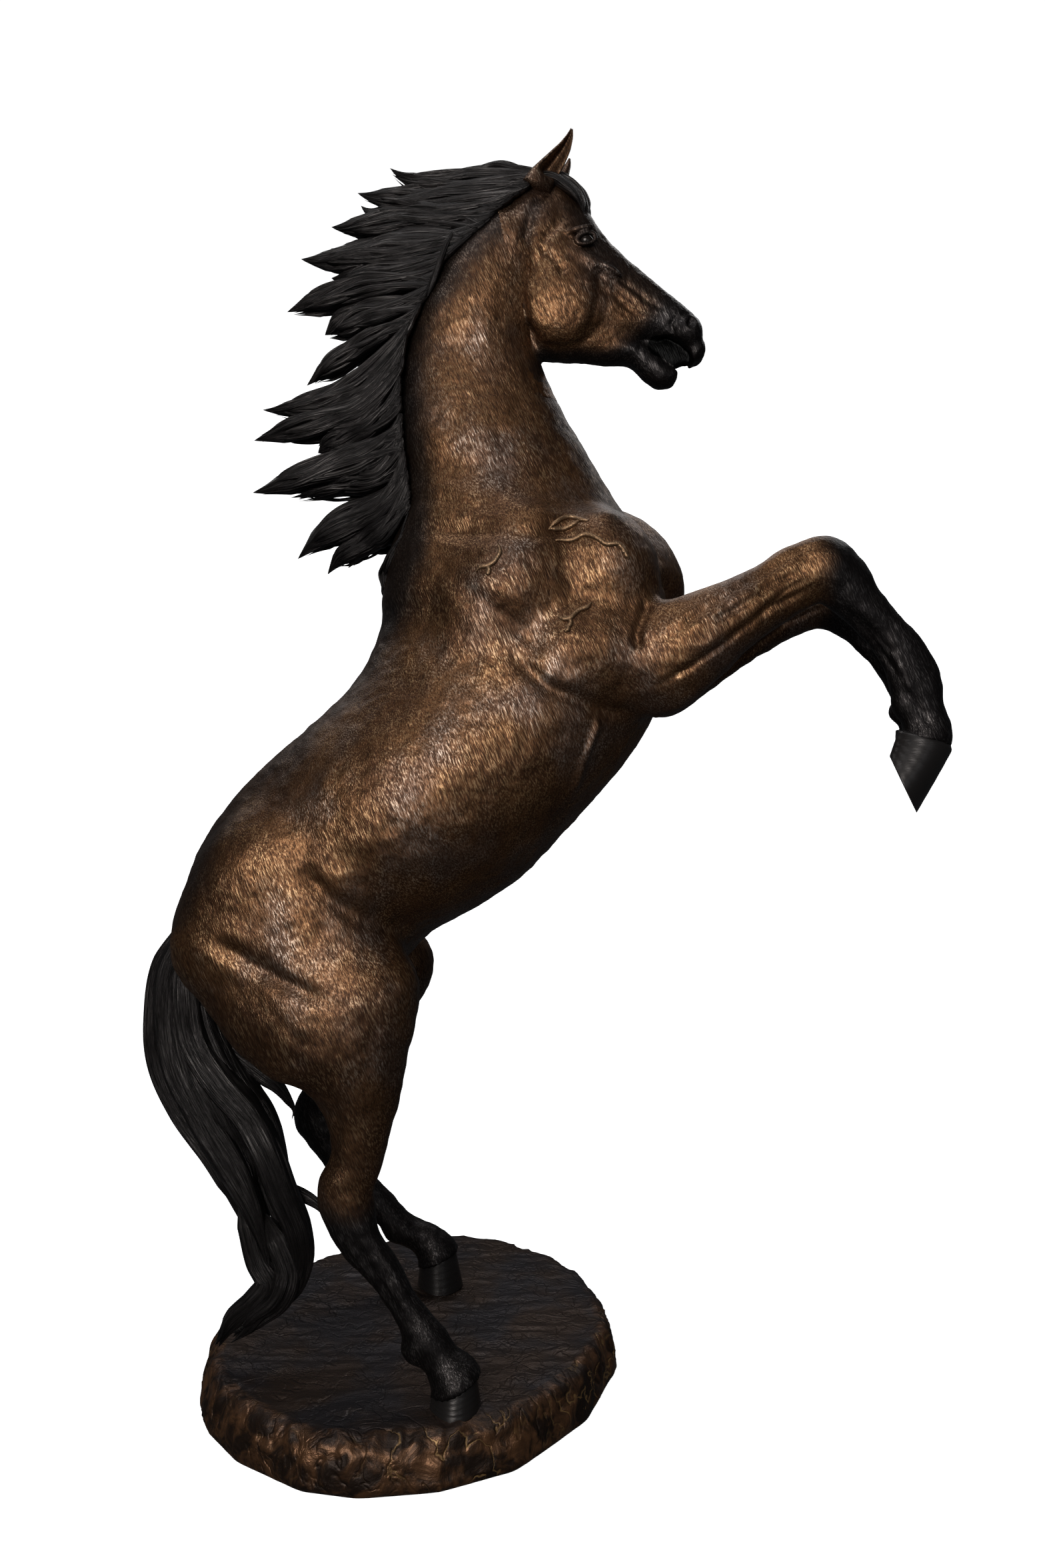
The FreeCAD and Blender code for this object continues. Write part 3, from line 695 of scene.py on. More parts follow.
def casting_of(points):
    """Index of the casting that each point of the body belongs to."""
    y = points[:, 1]
    side = np.where(y < 0, 0, 1)
    out = np.full(len(points), 1)                                                   # barrel
    out[beyond(points, (-0.14, 1.3425), (-0.712, -0.702)) > 0] = 0                   # hindquarters
    out[beyond(points, (0.195, 1.669), (0.57, 0.82)) > 0] = 2                        # forequarters
    out[beyond(points, (0.27, 2.2), (0.08, 1.0)) > 0] = 3                           # neck
    thigh = (beyond(points, (-0.2, 1.03), (0.1, -1.0)) > 0) & (points[:, 0] < 0.3)
    out = np.where(thigh, 4 + side, out)
    hock = (np.where(side == 0, -0.112, -0.262), np.where(side == 0, 0.53, 0.55))
    out = np.where(thigh & (beyond(points, hock, (0.2, -1.0)) > 0), 6 + side, out)
    arm = (beyond(points, (0.655, 1.8), (0.86, 0.5)) > 0) & (np.abs(y) > 0.09) & (points[:, 2] < 2.15)
    out = np.where(arm, 8 + side, out)
    knee = np.where(side == 0, 0.94, 1.055)
    out = np.where(arm & (points[:, 0] - knee > 0), 10 + side, out)
    return out


CASTINGS = ("hindquarters barrel forequarters neck thigh_right thigh_left hind_cannon_right hind_cannon_left "
            "forearm_right forearm_left fore_cannon_right fore_cannon_left").split()


def bay_and_shade_mask(points):
    """1 on the brown coat, falling to 0 on the black legs and muzzle, and lowered by painted shade along the
    dorsal line, on the neck beside the mane, along the throat, on the far hock, low on the thighs and high on
    the neck.
    """
    x, y, z = points.T
    wobble = 0.015 * lattice(points * 22, 5)
    # painted shade: the far hind leg turns black 0.2 m higher than the near one
    hock = np.where(y < 0, 0.0, 0.2)
    mask = ramp(z + wobble - hock, 0.5, 0.575)                                      # hind legs
    fore = (x > 0.75) & (np.abs(y) > 0.09)
    edge = np.where(y < 0, 0.965, 1.08)
    mask = np.where(fore, 1 - ramp(x + wobble - edge, -0.03, 0.04), mask)
    u, v = seen(points)
    # painted shade on the neck beside the mane, darkest along its root line
    mask *= 0.15 + 0.85 * ramp(line_distance(u, v, MANE_ROOT)[0] + wobble, 0.015, 0.095)
    # painted shade along the top line of the back and croup
    back = line_distance(u, v, [(-0.06, 1.92), (-0.1, 1.79), (-0.25, 1.62), (-0.4, 1.49), (-0.52, 1.32),
                                (-0.58, 1.15)])[0]
    mask *= 0.35 + 0.65 * ramp(back + wobble, 0.008, 0.06)
    # painted shade along the throat
    throat = line_distance(u, v, [(0.335, 2.52), (0.4, 2.4), (0.46, 2.29), (0.5, 2.215), (0.53, 2.185)])[0]
    mask *= 0.3 + 0.7 * ramp(throat + wobble, 0.01, 0.055)
    # painted shade: darker low on the thighs and high on the neck
    mask *= (0.78 + 0.22 * ramp(z, 0.85, 1.25)) * (1 - 0.14 * ramp(z, 2.15, 2.45))
    return mask


def vein_tubes(points, normals):
    """Tubes half sunk in the skin along the veins, on both sides."""
    x, z = seen(points)
    steps, around = 30, 8
    t = np.linspace(0, 1, steps)
    tubes = []
    for side in (-1, 1):
        near = (points[:, 1] * side > 0.05) & (normals[:, 1] * side > 0.1)
        near &= (z > 1.8) & (z < 2.25) & (x > 0.1)
        base, facing, u, v = points[near], normals[near], x[near], z[near]
        for line in VEINS:
            nearest = [np.argmin((u - a) ** 2 + (v - b) ** 2) for a, b in along_points(line)(t)]
            path = relaxed(base[nearest], 4)
            out = facing[nearest]
            wide = unit(np.cross(unit(np.gradient(path, axis=0), TINY), out), TINY)
            radius = 0.0058 * np.minimum(1, 0.3 + 4 * np.minimum(t, np.linspace(1, 0, steps)))
            ring = [path + wide * (radius * math.cos(a))[:, None]
                    + out * (radius * math.sin(a) + 0.0012)[:, None] for a in circle(around)]
            tubes.append((np.stack(ring, 1).reshape(-1, 3), tube_faces(steps, around)))
    return joined(tubes)


def body_pieces(material):
    points, quads = body_field().surface()
    # the left foreleg laid over the right one, so that one set of lines serves both
    shifted = points.copy()
    shifted[points[:, 1] > 0] -= (0.115, 0, 0.01)
    legs = (points[:, 0] > 0.6) & (np.abs(points[:, 1]) > 0.1)
    height = relief(points, BODY_LINES)
    height += relief(points, plane_lines(HIND_LINES, -0.24)) * (points[:, 2] < 0.95)
    height = np.where(legs, relief(shifted, plane_lines(FORE_LINES, -0.2)), height)
    points, normals = chiselled(points, quads, height, (0.0012, 60, 8), (0.002, 25, 9))
    bay_shade_and_glint = bay_and_shade_mask(points)
    owner = casting_of(points[quads].mean(axis=1))
    for index, name in enumerate(CASTINGS):
        casting(name, quads[owner == index], points, normals, bay_shade_and_glint, material)
    tubes, faces = vein_tubes(points, normals)
    # a coat value above 1 gives the veins a painted gold highlight
    veins = make_object("shoulder_veins", tubes, faces, None, {"bay_shade_and_glint": np.full(len(tubes), 1.3)})
    piece(veins, "forequarters", material)


# Lines along which painted shade darkens the head: bridge of the nose, underside of the jaw, mouth
NOSE_LINE = [(0.462, 2.905), (0.5, 2.85), (0.6, 2.755), (0.7, 2.672)]
UNDER_LINE = [(0.345, 2.545), (0.43, 2.547), (0.5, 2.54), (0.57, 2.545), (0.61, 2.56)]
MOUTH_LINE = [(0.628, 2.586), (0.648, 2.58), (0.67, 2.564), (0.69, 2.55)]


def head_mask(points):
    """1 on the brown coat, 0 on the black muzzle, lowered by painted shade along the bridge of the nose,
    towards the top of the head, in the hollow above the eye, under the jaw and in the jowl groove; below 0
    for painted shade in the mouth.
    """
    x, z = seen(points)
    mask = 1 - ramp(beyond(points, (0.6, 2.66), (0.7, -0.71)), -0.03, 0.04)
    # painted shade along the bridge of the nose
    nose = line_distance(x, z, NOSE_LINE)[0]
    mask *= 0.22 + 0.78 * ramp(nose + 0.01 * lattice(points * 30, 6), 0.015, 0.11)
    # painted shade, darker towards the top of the head
    mask *= 1 - 0.4 * ramp(z, 2.83, 2.95)
    # painted shade in the hollow above the eye
    mask *= 0.35 + 0.65 * ramp(np.hypot(x - 0.447, (z - 2.856) * 1.3), 0.012, 0.04)
    # painted shade under the jaw
    mask *= 0.15 + 0.85 * ramp(line_distance(x, z, UNDER_LINE)[0], 0.018, 0.045)
    # painted shade in the jowl groove behind the cheek
    mask *= 0.45 + 0.55 * ramp(line_distance(x, z, HEAD_LINES[0][2])[0], 0.004, 0.03)
    # painted shade: the inside of the mouth goes below 0, painted black
    mouth = line_distance(x, z, MOUTH_LINE)[0]
    return mask - 2 * (1 - ramp(mouth, 0.02, 0.03)) * (1 - ramp(np.abs(points[:, 1]), 0.034, 0.042))


def head_pieces(material):
    points, quads = head_field().surface()
    height = relief(points, HEAD_LINES)
    points, normals = chiselled(points, quads, height, (0.0008, 110, 8), (0.001, 45, 9))
    bay_shade_and_glint = head_mask(points)
    centres = points[quads].mean(axis=1)
    on_head = beyond(centres, (0.27, 2.66), (0.55, 0.1)) > 0
    jaw = on_head & (centres[:, 0] > 0.56) & (beyond(centres, (0.62, 2.575), (0.45, 0.9)) < 0)
    for name, keep in (("head", on_head & ~jaw), ("lower_jaw", jaw)):
        casting(name, quads[keep], points, normals, bay_shade_and_glint, material)


def eyeball(side, material):
    """A dark bulging eye, set between the lids."""
    sign = -1 if side == "right" else 1
    rings = []
    for tilt in np.linspace(0.04, math.pi - 0.04, 20):
        wide = 0.0185 * math.sin(tilt)
        y = sign * (0.069 + 0.0175 * math.cos(tilt))
        rings.append([(EYE_AT[0] + wide * math.cos(a), y, EYE_AT[1] + 0.86 * wide * math.sin(a))
                      for a in circle(40)[::-sign]])
    obj = sweep(f"eye_{side}_ball", np.array(rings))
    piece(obj, f"eye_{side}", material)


# ---------------------------------------------------------------- hair

def lock_mesh(path, width, depth, taper, seed, around=28, along=40, wave=0.0, twist=0.0):
    """A closed lock of hair with strand grooves that run its length.

    path is a function of 0..1; width lies in the side view and depth across it.
    """
    rng = np.random.default_rng(seed)
    t = np.linspace(0, 1, along)
    centre = path(t)
    tangent = unit(np.gradient(centre, axis=0))
    across = unit(np.cross(tangent, np.array([0.0, 1.0, 0.0])))
    out = np.cross(across, tangent)
    swing = wave * np.sin(t * math.pi * 2 * rng.uniform(1.0, 1.6) + rng.uniform(0, 6)) * np.minimum(t * 2,
                                                                                                    1)
    centre = centre + across * swing[:, None]
    size = np.interp(t, *taper) * np.clip((1 - t) / 0.16, 0, 1) ** 0.75 + 0.004
    angle = circle(around)
    u = np.cos(angle)
    v = np.sin(angle)
    groove = np.zeros((along, around))
    for _ in range(4):
        freq = rng.uniform(4, 11)
        drift = rng.uniform(-1.4, 1.4)
        phase = rng.uniform(0, 6.3)
        groove += rng.uniform(0.5, 1.0) * np.sin(freq * u[None, :] + phase + drift * t[:, None] * 2
                                                 + 2.0 * (v[None, :] > 0))
    groove = 1 + 0.085 * groove * np.abs(v)[None, :] ** 0.5
    w = (width * size)[:, None] * u[None, :] * (1 + 0.3 * (groove - 1))
    d = (depth * size)[:, None] * (np.sign(v) * np.abs(v) ** 0.8)[None, :] * groove
    ct, st = np.cos(twist * t)[:, None], np.sin(twist * t)[:, None]
    points = (centre[:, None, :] + across[:, None, :] * (w * ct - d * st)[..., None]
              + out[:, None, :] * (w * st + d * ct)[..., None])
    strand = np.broadcast_to((u * width)[None, :], (along, around)).reshape(-1)
    run = np.repeat(t * chord(centre)[-1], around)
    return points.reshape(-1, 3), tube_faces(along, around, inward=True), strand + seed * 0.37, run


def placed(x, y, z):
    """The point at depth y that stands, for the viewer, over (x, z) in the mid-plane."""
    ex, ey, ez = EYE_POINT
    near = (y - ey) / -ey
    return (ex + (x - ex) * near, y, ez + (z - ez) * near)


def hair_object(name, locks, nodes, material):
    """Several locks joined in one object."""
    points, faces = joined(lock[:2] for lock in locks)
    strand, run = (np.concatenate([lock[k] for lock in locks]) for k in (2, 3))
    obj = make_object(name, points, faces, None, {"strand": strand, "run": run})
    piece(obj, nodes, material)


# Size of a lock along its length: positions and factors
FULL = ([0, 0.1, 0.35, 0.7, 1.0], [0.75, 0.95, 1.0, 0.8, 0.35])
SLIM = ([0, 0.15, 0.45, 0.8, 1.0], [0.45, 0.85, 1.0, 0.7, 0.2])
CURL = ([0, 0.2, 0.5, 0.8, 1.0], [0.05, 0.85, 1.0, 0.8, 0.35])
THIN = ([0, 0.2, 0.62, 0.82, 1.0], [0.8, 1.0, 0.92, 0.45, 0.12])

# Where the mane grows out of the neck, from the poll down to the withers (x, z)
MANE_ROOT = [(0.325, 3.02), (0.3, 2.985), (0.24, 2.945), (0.2, 2.9), (0.15, 2.86), (0.1, 2.82),
             (0.072, 2.775), (0.038, 2.7), (0.008, 2.65), (-0.012, 2.59), (-0.022, 2.5), (-0.018, 2.4),
             (-0.01, 2.3), (0.005, 2.22), (0.002, 2.14), (-0.015, 2.06), (-0.035, 1.99), (-0.058, 1.92)]

# Mane locks: root, two middles and tip (x, z), half width
MANE = {
    "mane_crest": [
        ((0.3, 2.97), (0.205, 3.04), (0.075, 2.94), (-0.045, 3.028), 0.031),
        ((0.3, 2.988), (0.244, 3.042), (0.17, 3.006), (0.07, 2.98), 0.022),
        ((0.26, 2.94), (0.16, 2.996), (0.0, 2.915), (-0.124, 2.969), 0.038),
        ((0.205, 2.89), (0.09, 2.95), (-0.05, 2.86), (-0.114, 2.938), 0.03),
        ((0.175, 2.86), (0.06, 2.934), (-0.08, 2.876), (-0.19, 2.883), 0.036),
    ],
    "mane_upper": [
        ((0.12, 2.82), (0.01, 2.885), (-0.11, 2.785), (-0.19, 2.83), 0.034),
        ((0.105, 2.8), (-0.02, 2.858), (-0.14, 2.788), (-0.266, 2.801), 0.039),
        ((0.07, 2.75), (-0.04, 2.8), (-0.12, 2.73), (-0.19, 2.755), 0.034),
        ((0.05, 2.71), (-0.08, 2.778), (-0.18, 2.712), (-0.3, 2.668), 0.033),
        ((0.03, 2.66), (-0.08, 2.7), (-0.155, 2.646), (-0.206, 2.612), 0.036),
        ((0.01, 2.61), (-0.1, 2.63), (-0.17, 2.55), (-0.252, 2.486), 0.026),
    ],
    "mane_middle": [
        ((0.0, 2.55), (-0.11, 2.52), (-0.228, 2.404), (-0.362, 2.426), 0.03),
        ((-0.005, 2.5), (-0.11, 2.47), (-0.2, 2.4), (-0.28, 2.4), 0.034),
        ((-0.005, 2.46), (-0.13, 2.43), (-0.232, 2.392), (-0.384, 2.35), 0.043),
        ((0.0, 2.4), (-0.11, 2.385), (-0.19, 2.34), (-0.225, 2.32), 0.032),
        ((0.005, 2.34), (-0.12, 2.32), (-0.24, 2.25), (-0.388, 2.221), 0.039),
        ((0.01, 2.29), (-0.08, 2.275), (-0.15, 2.25), (-0.205, 2.235), 0.028),
    ],
    "mane_lower": [
        ((0.01, 2.25), (-0.09, 2.24), (-0.17, 2.222), (-0.292, 2.204), 0.013),
        ((0.006, 2.19), (-0.08, 2.18), (-0.162, 2.16), (-0.276, 2.054), 0.041),
        ((-0.002, 2.14), (-0.07, 2.12), (-0.14, 2.094), (-0.2, 2.014), 0.03),
        ((-0.012, 2.105), (-0.06, 2.108), (-0.105, 2.092), (-0.15, 2.03), 0.015),
        ((-0.026, 2.07), (-0.052, 2.05), (-0.054, 2.0), (-0.05, 1.94), 0.016),
    ],
}


NECK_CURL = [(0.118, 0.072, 2.83), (0.088, 0.076, 2.775), (0.08, 0.078, 2.72), (0.052, 0.07, 2.668)]


def upstream(root, back):
    """A point on the mane's root line, the given length above the point level with root."""
    line = np.array(MANE_ROOT)
    reach = chord(line)
    nearest = np.argmin(np.linalg.norm(line - np.array(root), axis=1))
    at = max(reach[nearest] - back, 0.0)
    return np.interp(at, reach, line[:, 0]), np.interp(at, reach, line[:, 1])


def beside(spine, offset, side, half, reach, start):
    """A strand that rises from the neck and then runs along one side of a core lock."""
    def at(t):
        q = t * reach
        centre = spine(q)
        tangent = unit(spine(np.minimum(q + 0.02, 1.0) + 1e-4) - centre, TINY)
        across = np.cross(tangent, np.array([0.0, 1.0, 0.0]))
        size = np.interp(q, *FULL) * np.clip((1 - q) / 0.2, 0.15, 1)
        track = centre + across * (0.82 * offset * half * size)[:, None]
        join = ramp(t, 0.0, 0.42)
        x = start[0] * (1 - join) + track[:, 0] * join
        z = start[1] * (1 - join) + track[:, 2] * join
        surface = 0.03 * math.sqrt(1 - 0.8 * offset**2) * size + 0.004
        y = 0.07 * (1 - ramp(t, 0.05, 0.6)) + surface * ramp(t, 0.05, 0.6)
        px, _, pz = placed(x, -y, z)
        return np.column_stack([px, side * y, pz])
    return at


def mane(material):
    """Each lock is a core on the crest with finer strands along both of its sides."""
    for group, (name, rows) in enumerate(MANE.items()):
        locks = []
        for index, (*core, half) in enumerate(rows):
            seed = 100 * group + 20 * index
            spine = bezier(*((x, 0.0, z) for x, z in core))
            locks.append(lock_mesh(spine, half, 0.034, FULL, seed, wave=0.003))
            for side in (-1, 1):
                for strand, offset in enumerate((-0.95, -0.64, -0.32, 0.0, 0.32, 0.64, 0.95)):
                    seed += 1
                    rng = np.random.default_rng(seed)
                    start = upstream(core[0], 0.03 + 0.022 * (strand % 4) + rng.uniform(0, 0.03))
                    path = beside(spine, offset, side, half, rng.uniform(0.86, 0.98), start)
                    locks.append(lock_mesh(path, half * rng.uniform(0.24, 0.34), 0.013, SLIM, seed,
                                           around=16,
                                           along=44, wave=0.006, twist=side * 0.3))
        if name == "mane_upper":
            for side in (-1, 1):
                curl = bezier(*((x, side * y, z) for x, y, z in NECK_CURL))
                locks.append(lock_mesh(curl, 0.008, 0.01, SLIM, 790 + side, around=16))
        hair_object(name + "_locks", locks, name, material)


# Forelock strands: root, two middles and tip (x, y, z), half width, half depth
FORELOCK = [
    ((0.33, 0.0, 3.0), (0.385, 0.0, 3.0), (0.44, 0.0, 2.97), (0.451, 0.0, 2.905), 0.025, 0.03),
    ((0.33, -0.02, 2.992), (0.38, -0.035, 2.99), (0.436, -0.045, 2.95), (0.436, -0.04, 2.89), 0.015, 0.018),
    ((0.332, -0.034, 2.985), (0.37, -0.05, 2.985), (0.418, -0.06, 2.95), (0.428, -0.052, 2.905), 0.013,
     0.016),
    ((0.34, -0.01, 3.0), (0.4, -0.018, 2.995), (0.45, -0.022, 2.95), (0.452, -0.018, 2.885), 0.015, 0.018),
    ((0.345, -0.002, 2.998), (0.405, -0.006, 2.998), (0.457, -0.008, 2.964), (0.455, -0.006, 2.895), 0.012,
     0.016),
]


def forelock(material):
    mirrored = [(*((x, -y, z) for x, y, z in row[:4]), *row[4:]) for row in FORELOCK[1:]]
    locks = [lock_mesh(bezier(*ps), width, deep, FULL, 700 + k, wave=0.003)
             for k, (*ps, width, deep) in enumerate(FORELOCK + mirrored)]
    hair_object("forelock_locks", locks, "forelock", material)


# Tail strands: points from the dock down (x and z in the mid-plane, y the depth), and half widths
TAIL = [
    # outer fall
    ([(-0.552, 0.0, 1.12), (-0.598, 0.0, 1.04), (-0.616, -0.01, 0.92), (-0.609, -0.02, 0.8),
      (-0.559, -0.04, 0.678), (-0.492, -0.06, 0.575), (-0.436, -0.08, 0.468), (-0.392, -0.09, 0.38)], 0.038,
      0.05),
    ([(-0.552, -0.03, 1.11), (-0.583, -0.04, 1.03), (-0.592, -0.05, 0.9), (-0.568, -0.06, 0.78),
      (-0.508, -0.08, 0.66), (-0.445, -0.1, 0.55), (-0.383, -0.11, 0.42), (-0.352, -0.12, 0.32),
      (-0.332, -0.13, 0.25)], 0.042, 0.045),
    ([(-0.548, 0.03, 1.11), (-0.578, 0.04, 1.03), (-0.588, 0.05, 0.9), (-0.56, 0.04, 0.78),
      (-0.503, 0.02, 0.66), (-0.445, 0.0, 0.55), (-0.388, -0.03, 0.42), (-0.355, -0.06, 0.32)], 0.042,
      0.045),
    ([(-0.545, -0.02, 1.09), (-0.55, -0.05, 0.98), (-0.535, -0.06, 0.86), (-0.47, -0.08, 0.75),
      (-0.396, -0.1, 0.66), (-0.35, -0.12, 0.57), (-0.312, -0.13, 0.47), (-0.275, -0.13, 0.38),
      (-0.264, -0.13, 0.3), (-0.29, -0.13, 0.225), (-0.355, -0.13, 0.165), (-0.425, -0.135, 0.115)],
     0.042, 0.045),
    ([(-0.545, 0.02, 1.09), (-0.55, 0.04, 0.98), (-0.54, 0.05, 0.86), (-0.485, 0.03, 0.75),
      (-0.41, 0.0, 0.66), (-0.362, -0.03, 0.57), (-0.328, -0.06, 0.47), (-0.298, -0.08, 0.38),
      (-0.29, -0.09, 0.3), (-0.32, -0.1, 0.23), (-0.38, -0.12, 0.165)], 0.042, 0.045),
    # inner mass
    ([(-0.535, 0.0, 1.06), (-0.52, -0.02, 0.95), (-0.49, -0.03, 0.85), (-0.43, -0.05, 0.74),
      (-0.37, -0.07, 0.66), (-0.336, -0.09, 0.57), (-0.314, -0.1, 0.48), (-0.295, -0.11, 0.4)], 0.044,
      0.055),
    ([(-0.52, -0.01, 1.02), (-0.5, -0.02, 0.91), (-0.462, -0.03, 0.82), (-0.414, -0.04, 0.745),
      (-0.377, -0.06, 0.69), (-0.352, -0.07, 0.64), (-0.34, -0.08, 0.58), (-0.326, -0.09, 0.5)], 0.034,
      0.04),
    ([(-0.53, -0.02, 1.0), (-0.56, -0.03, 0.9), (-0.545, -0.04, 0.79), (-0.49, -0.06, 0.69),
      (-0.44, -0.07, 0.6), (-0.4, -0.08, 0.52), (-0.37, -0.09, 0.44)], 0.05, 0.05),
    # curl over the base
    ([(-0.42, -0.09, 0.48), (-0.392, -0.11, 0.38), (-0.37, -0.12, 0.3), (-0.345, -0.13, 0.245),
      (-0.38, -0.14, 0.2), (-0.434, -0.14, 0.152), (-0.472, -0.14, 0.082)], 0.033, 0.036),
    ([(-0.36, -0.11, 0.42), (-0.32, -0.13, 0.34), (-0.298, -0.14, 0.27), (-0.318, -0.15, 0.21),
      (-0.372, -0.15, 0.165), (-0.435, -0.15, 0.11)], 0.034, 0.036),
]
TAIL_WISPS = {
    "tail_wisp_upper": ([(-0.51, -0.03, 0.882), (-0.432, -0.03, 0.818), (-0.368, -0.03, 0.768),
                         (-0.324, -0.03, 0.733),
                         (-0.298, -0.03, 0.698), (-0.284, -0.03, 0.672), (-0.29, -0.03, 0.648)], 0.023,
                         0.02),
    "tail_wisp_lower": ([(-0.38, -0.07, 0.53), (-0.315, -0.08, 0.484), (-0.256, -0.085, 0.457),
                         (-0.22, -0.088, 0.432), (-0.186, -0.09, 0.374)], 0.013, 0.014),
}


def tail(material):
    fall = []
    for k, (points, width, deep) in enumerate(TAIL):
        taper = FULL if points[0][2] > 0.9 else CURL
        for copy in range(4):
            seed = 900 + 10 * k + copy
            path = np.array([placed(*p) for p in points])
            if copy:
                stray = np.random.default_rng(seed).uniform(-0.6, 0.6, 3) * np.array([0.6, 1.4, 0.2])
                path[1:] += stray * width * np.linspace(0.4, 1, len(path) - 1)[:, None]
            size = 0.55 if copy else 1.0
            fall.append(lock_mesh(along_points(path), width * size, deep * size, taper, seed,
                                  along=70, wave=0.01 * (copy > 0), twist=0.3 * copy))
    hair_object("tail_fall", fall, "tail_upper tail_lower", material)
    for k, (name, (points, width, deep)) in enumerate(TAIL_WISPS.items()):
        path = np.array([placed(*p) for p in points])
        wisps = [lock_mesh(along_points(path + [0, 0.004 * c, 0.006 * c]), width * (1 - 0.25 * c), deep,
                           THIN,
                           980 + 5 * k + c, along=50) for c in range(2)]
        hair_object(name + "_lock", wisps, name, material)


# ---------------------------------------------------------------- ears, hooves and base

def ear(side, material):
    """A pricked ear: a pointed leaf, hollow towards the front."""
    sign = -1 if side == "right" else 1
    around, along = 56, 48
    t = np.linspace(0, 1, along)
    lean = np.stack([np.interp(t, [0, 0.2, 0.45, 0.7, 0.88, 1],
                               [0.318, 0.334, 0.364, 0.391, 0.404, 0.4085]),
                     sign * (0.054 + 0.008 * t),
                     np.interp(t, [0, 1], [2.945, 3.09])], 1)
    lean = relaxed(lean, 3)
    half = np.interp(t, [0, 0.2, 0.42, 0.6, 0.78, 0.92, 1],
                     [0.04, 0.035, 0.028, 0.021, 0.013, 0.007, 0.003])
    thick = np.interp(t, [0, 0.2, 0.6, 1], [0.034, 0.028, 0.016, 0.003])
    angle = math.radians(58)
    rings = []
    for c, h, d, f in zip(lean, half, thick, t):
        ring = []
        for a in circle(around)[::-sign]:
            u, v = math.cos(a), math.sin(a)
            deep = d * v
            if v > 0:
                deep = d * (0.9 * v - 1.7 * v * (1 - u * u) ** 1.5 * ramp(f, 0.12, 0.35)) + 0.2 * d
            x = deep * math.cos(angle) + h * u * math.sin(angle)
            y = deep * math.sin(angle) - h * u * math.cos(angle)
            ring.append((c[0] + 0.92 * x, c[1] + sign * y, c[2] - 0.32 * x))
        rings.append(ring)
    obj = sweep(f"ear_{side}_leaf", np.array(rings), {"bay_shade_and_glint": np.full(around * along, 0.6)})
    piece(obj, f"ear_{side}", material)


# Hooves: centre y, coronet line and ground line, each (front, back) in the side view, and roll
HOOVES = {
    "fore_hoof_right": (-0.2, ((1.276, 1.563), (1.157, 1.61)), ((1.198, 1.424), (1.136, 1.554)), 0.31),
    "fore_hoof_left": (0.2, ((1.409, 1.587), (1.294, 1.634)), ((1.348, 1.454), (1.292, 1.578)), 0.31),
    "hind_hoof_right": (-0.3, ((0.188, 0.176), (0.09, 0.15)), ((0.196, 0.115), (0.082, 0.115)), 0.0),
    "hind_hoof_left": (0.258, ((0.104, 0.21), (0.006, 0.176)), ((0.124, 0.115), (0.0, 0.115)), 0.0),
}


def hoof(name, y, coronet, ground, roll, material):
    """A hoof's wall and sole, with its rim tucked in under the coronet."""
    front, back = np.array([coronet, ground], float).transpose(1, 0, 2)
    # down the wall: position between coronet and ground, tuck of the ring, lift of the sole
    stations = [(-0.1, 0.86, 0.0), (-0.03, 0.98, 0.0)]
    stations += [(f, 1.0, 0.0) for f in np.linspace(0.0, 1.0, 36)]
    stations += [(1.0, 0.9, 0.0), (1.0, 0.82, 0.006), (1.0, 0.55, 0.01)]
    rings = []
    for f, tuck, lift in stations:
        head = front[0] + (front[1] - front[0]) * f
        heel = back[0] + (back[1] - back[0]) * f
        middle = (head + heel) / 2
        forward = (head - heel) / 2
        half = np.linalg.norm(forward)
        forward = forward / half
        sole = np.array([forward[1], -forward[0]])
        low = max(f, 0.0)
        ring_wave = 1 + 0.002 * math.sin(low * 30) * (0 < f < 0.97)
        wide = (0.046 + 0.016 * low) * tuck * ring_wave
        ring = []
        for a in circle(72)[::-1]:
            u, v = math.cos(a), math.sin(a)
            narrow = 1 - 0.16 * max(-u, 0) ** 2
            side = wide * v * narrow * (1 + 0.1 * (1 - u * u))
            xz = middle + forward * (half * u * tuck * ring_wave)
            xz = xz - sole * (lift + side * math.sin(roll) * low)
            ring.append((xz[0], y + side * math.cos(roll * low), xz[1]))
        rings.append(ring)
    piece(sweep(name + "_wall", np.array(rings)), name, material)


# Outline of the base (x, y), and the rings that close its rim: share of the outline, height
BASE_OUTLINE = [
    (-0.328, -0.312), (-0.172, -0.404), (-0.051, -0.426), (0.112, -0.406), (0.266, -0.34), (0.426, -0.168),
    (0.501, 0.02), (0.497, 0.17), (0.45, 0.345), (0.342, 0.475), (0.205, 0.565), (0.013, 0.598),
    (-0.13, 0.552), (-0.24, 0.482), (-0.318, 0.41), (-0.424, 0.245), (-0.486, 0.05), (-0.462, -0.113),
    (-0.41, -0.22),
]
BASE_RIM = [
    (0.945, 0.117), (0.96, 0.115), (0.974, 0.112), (0.987, 0.107), (0.998, 0.1), (1.007, 0.092),
    (1.014, 0.083),
    (1.02, 0.074), (1.025, 0.065), (1.029, 0.056), (1.033, 0.047), (1.035, 0.038), (1.036, 0.029),
    (1.036, 0.02),
    (1.034, 0.012), (1.03, 0.004), (1.015, 0.0),
]
BASE_TOP = 0.118
BASE_CENTRE = np.array([0.015, 0.085])


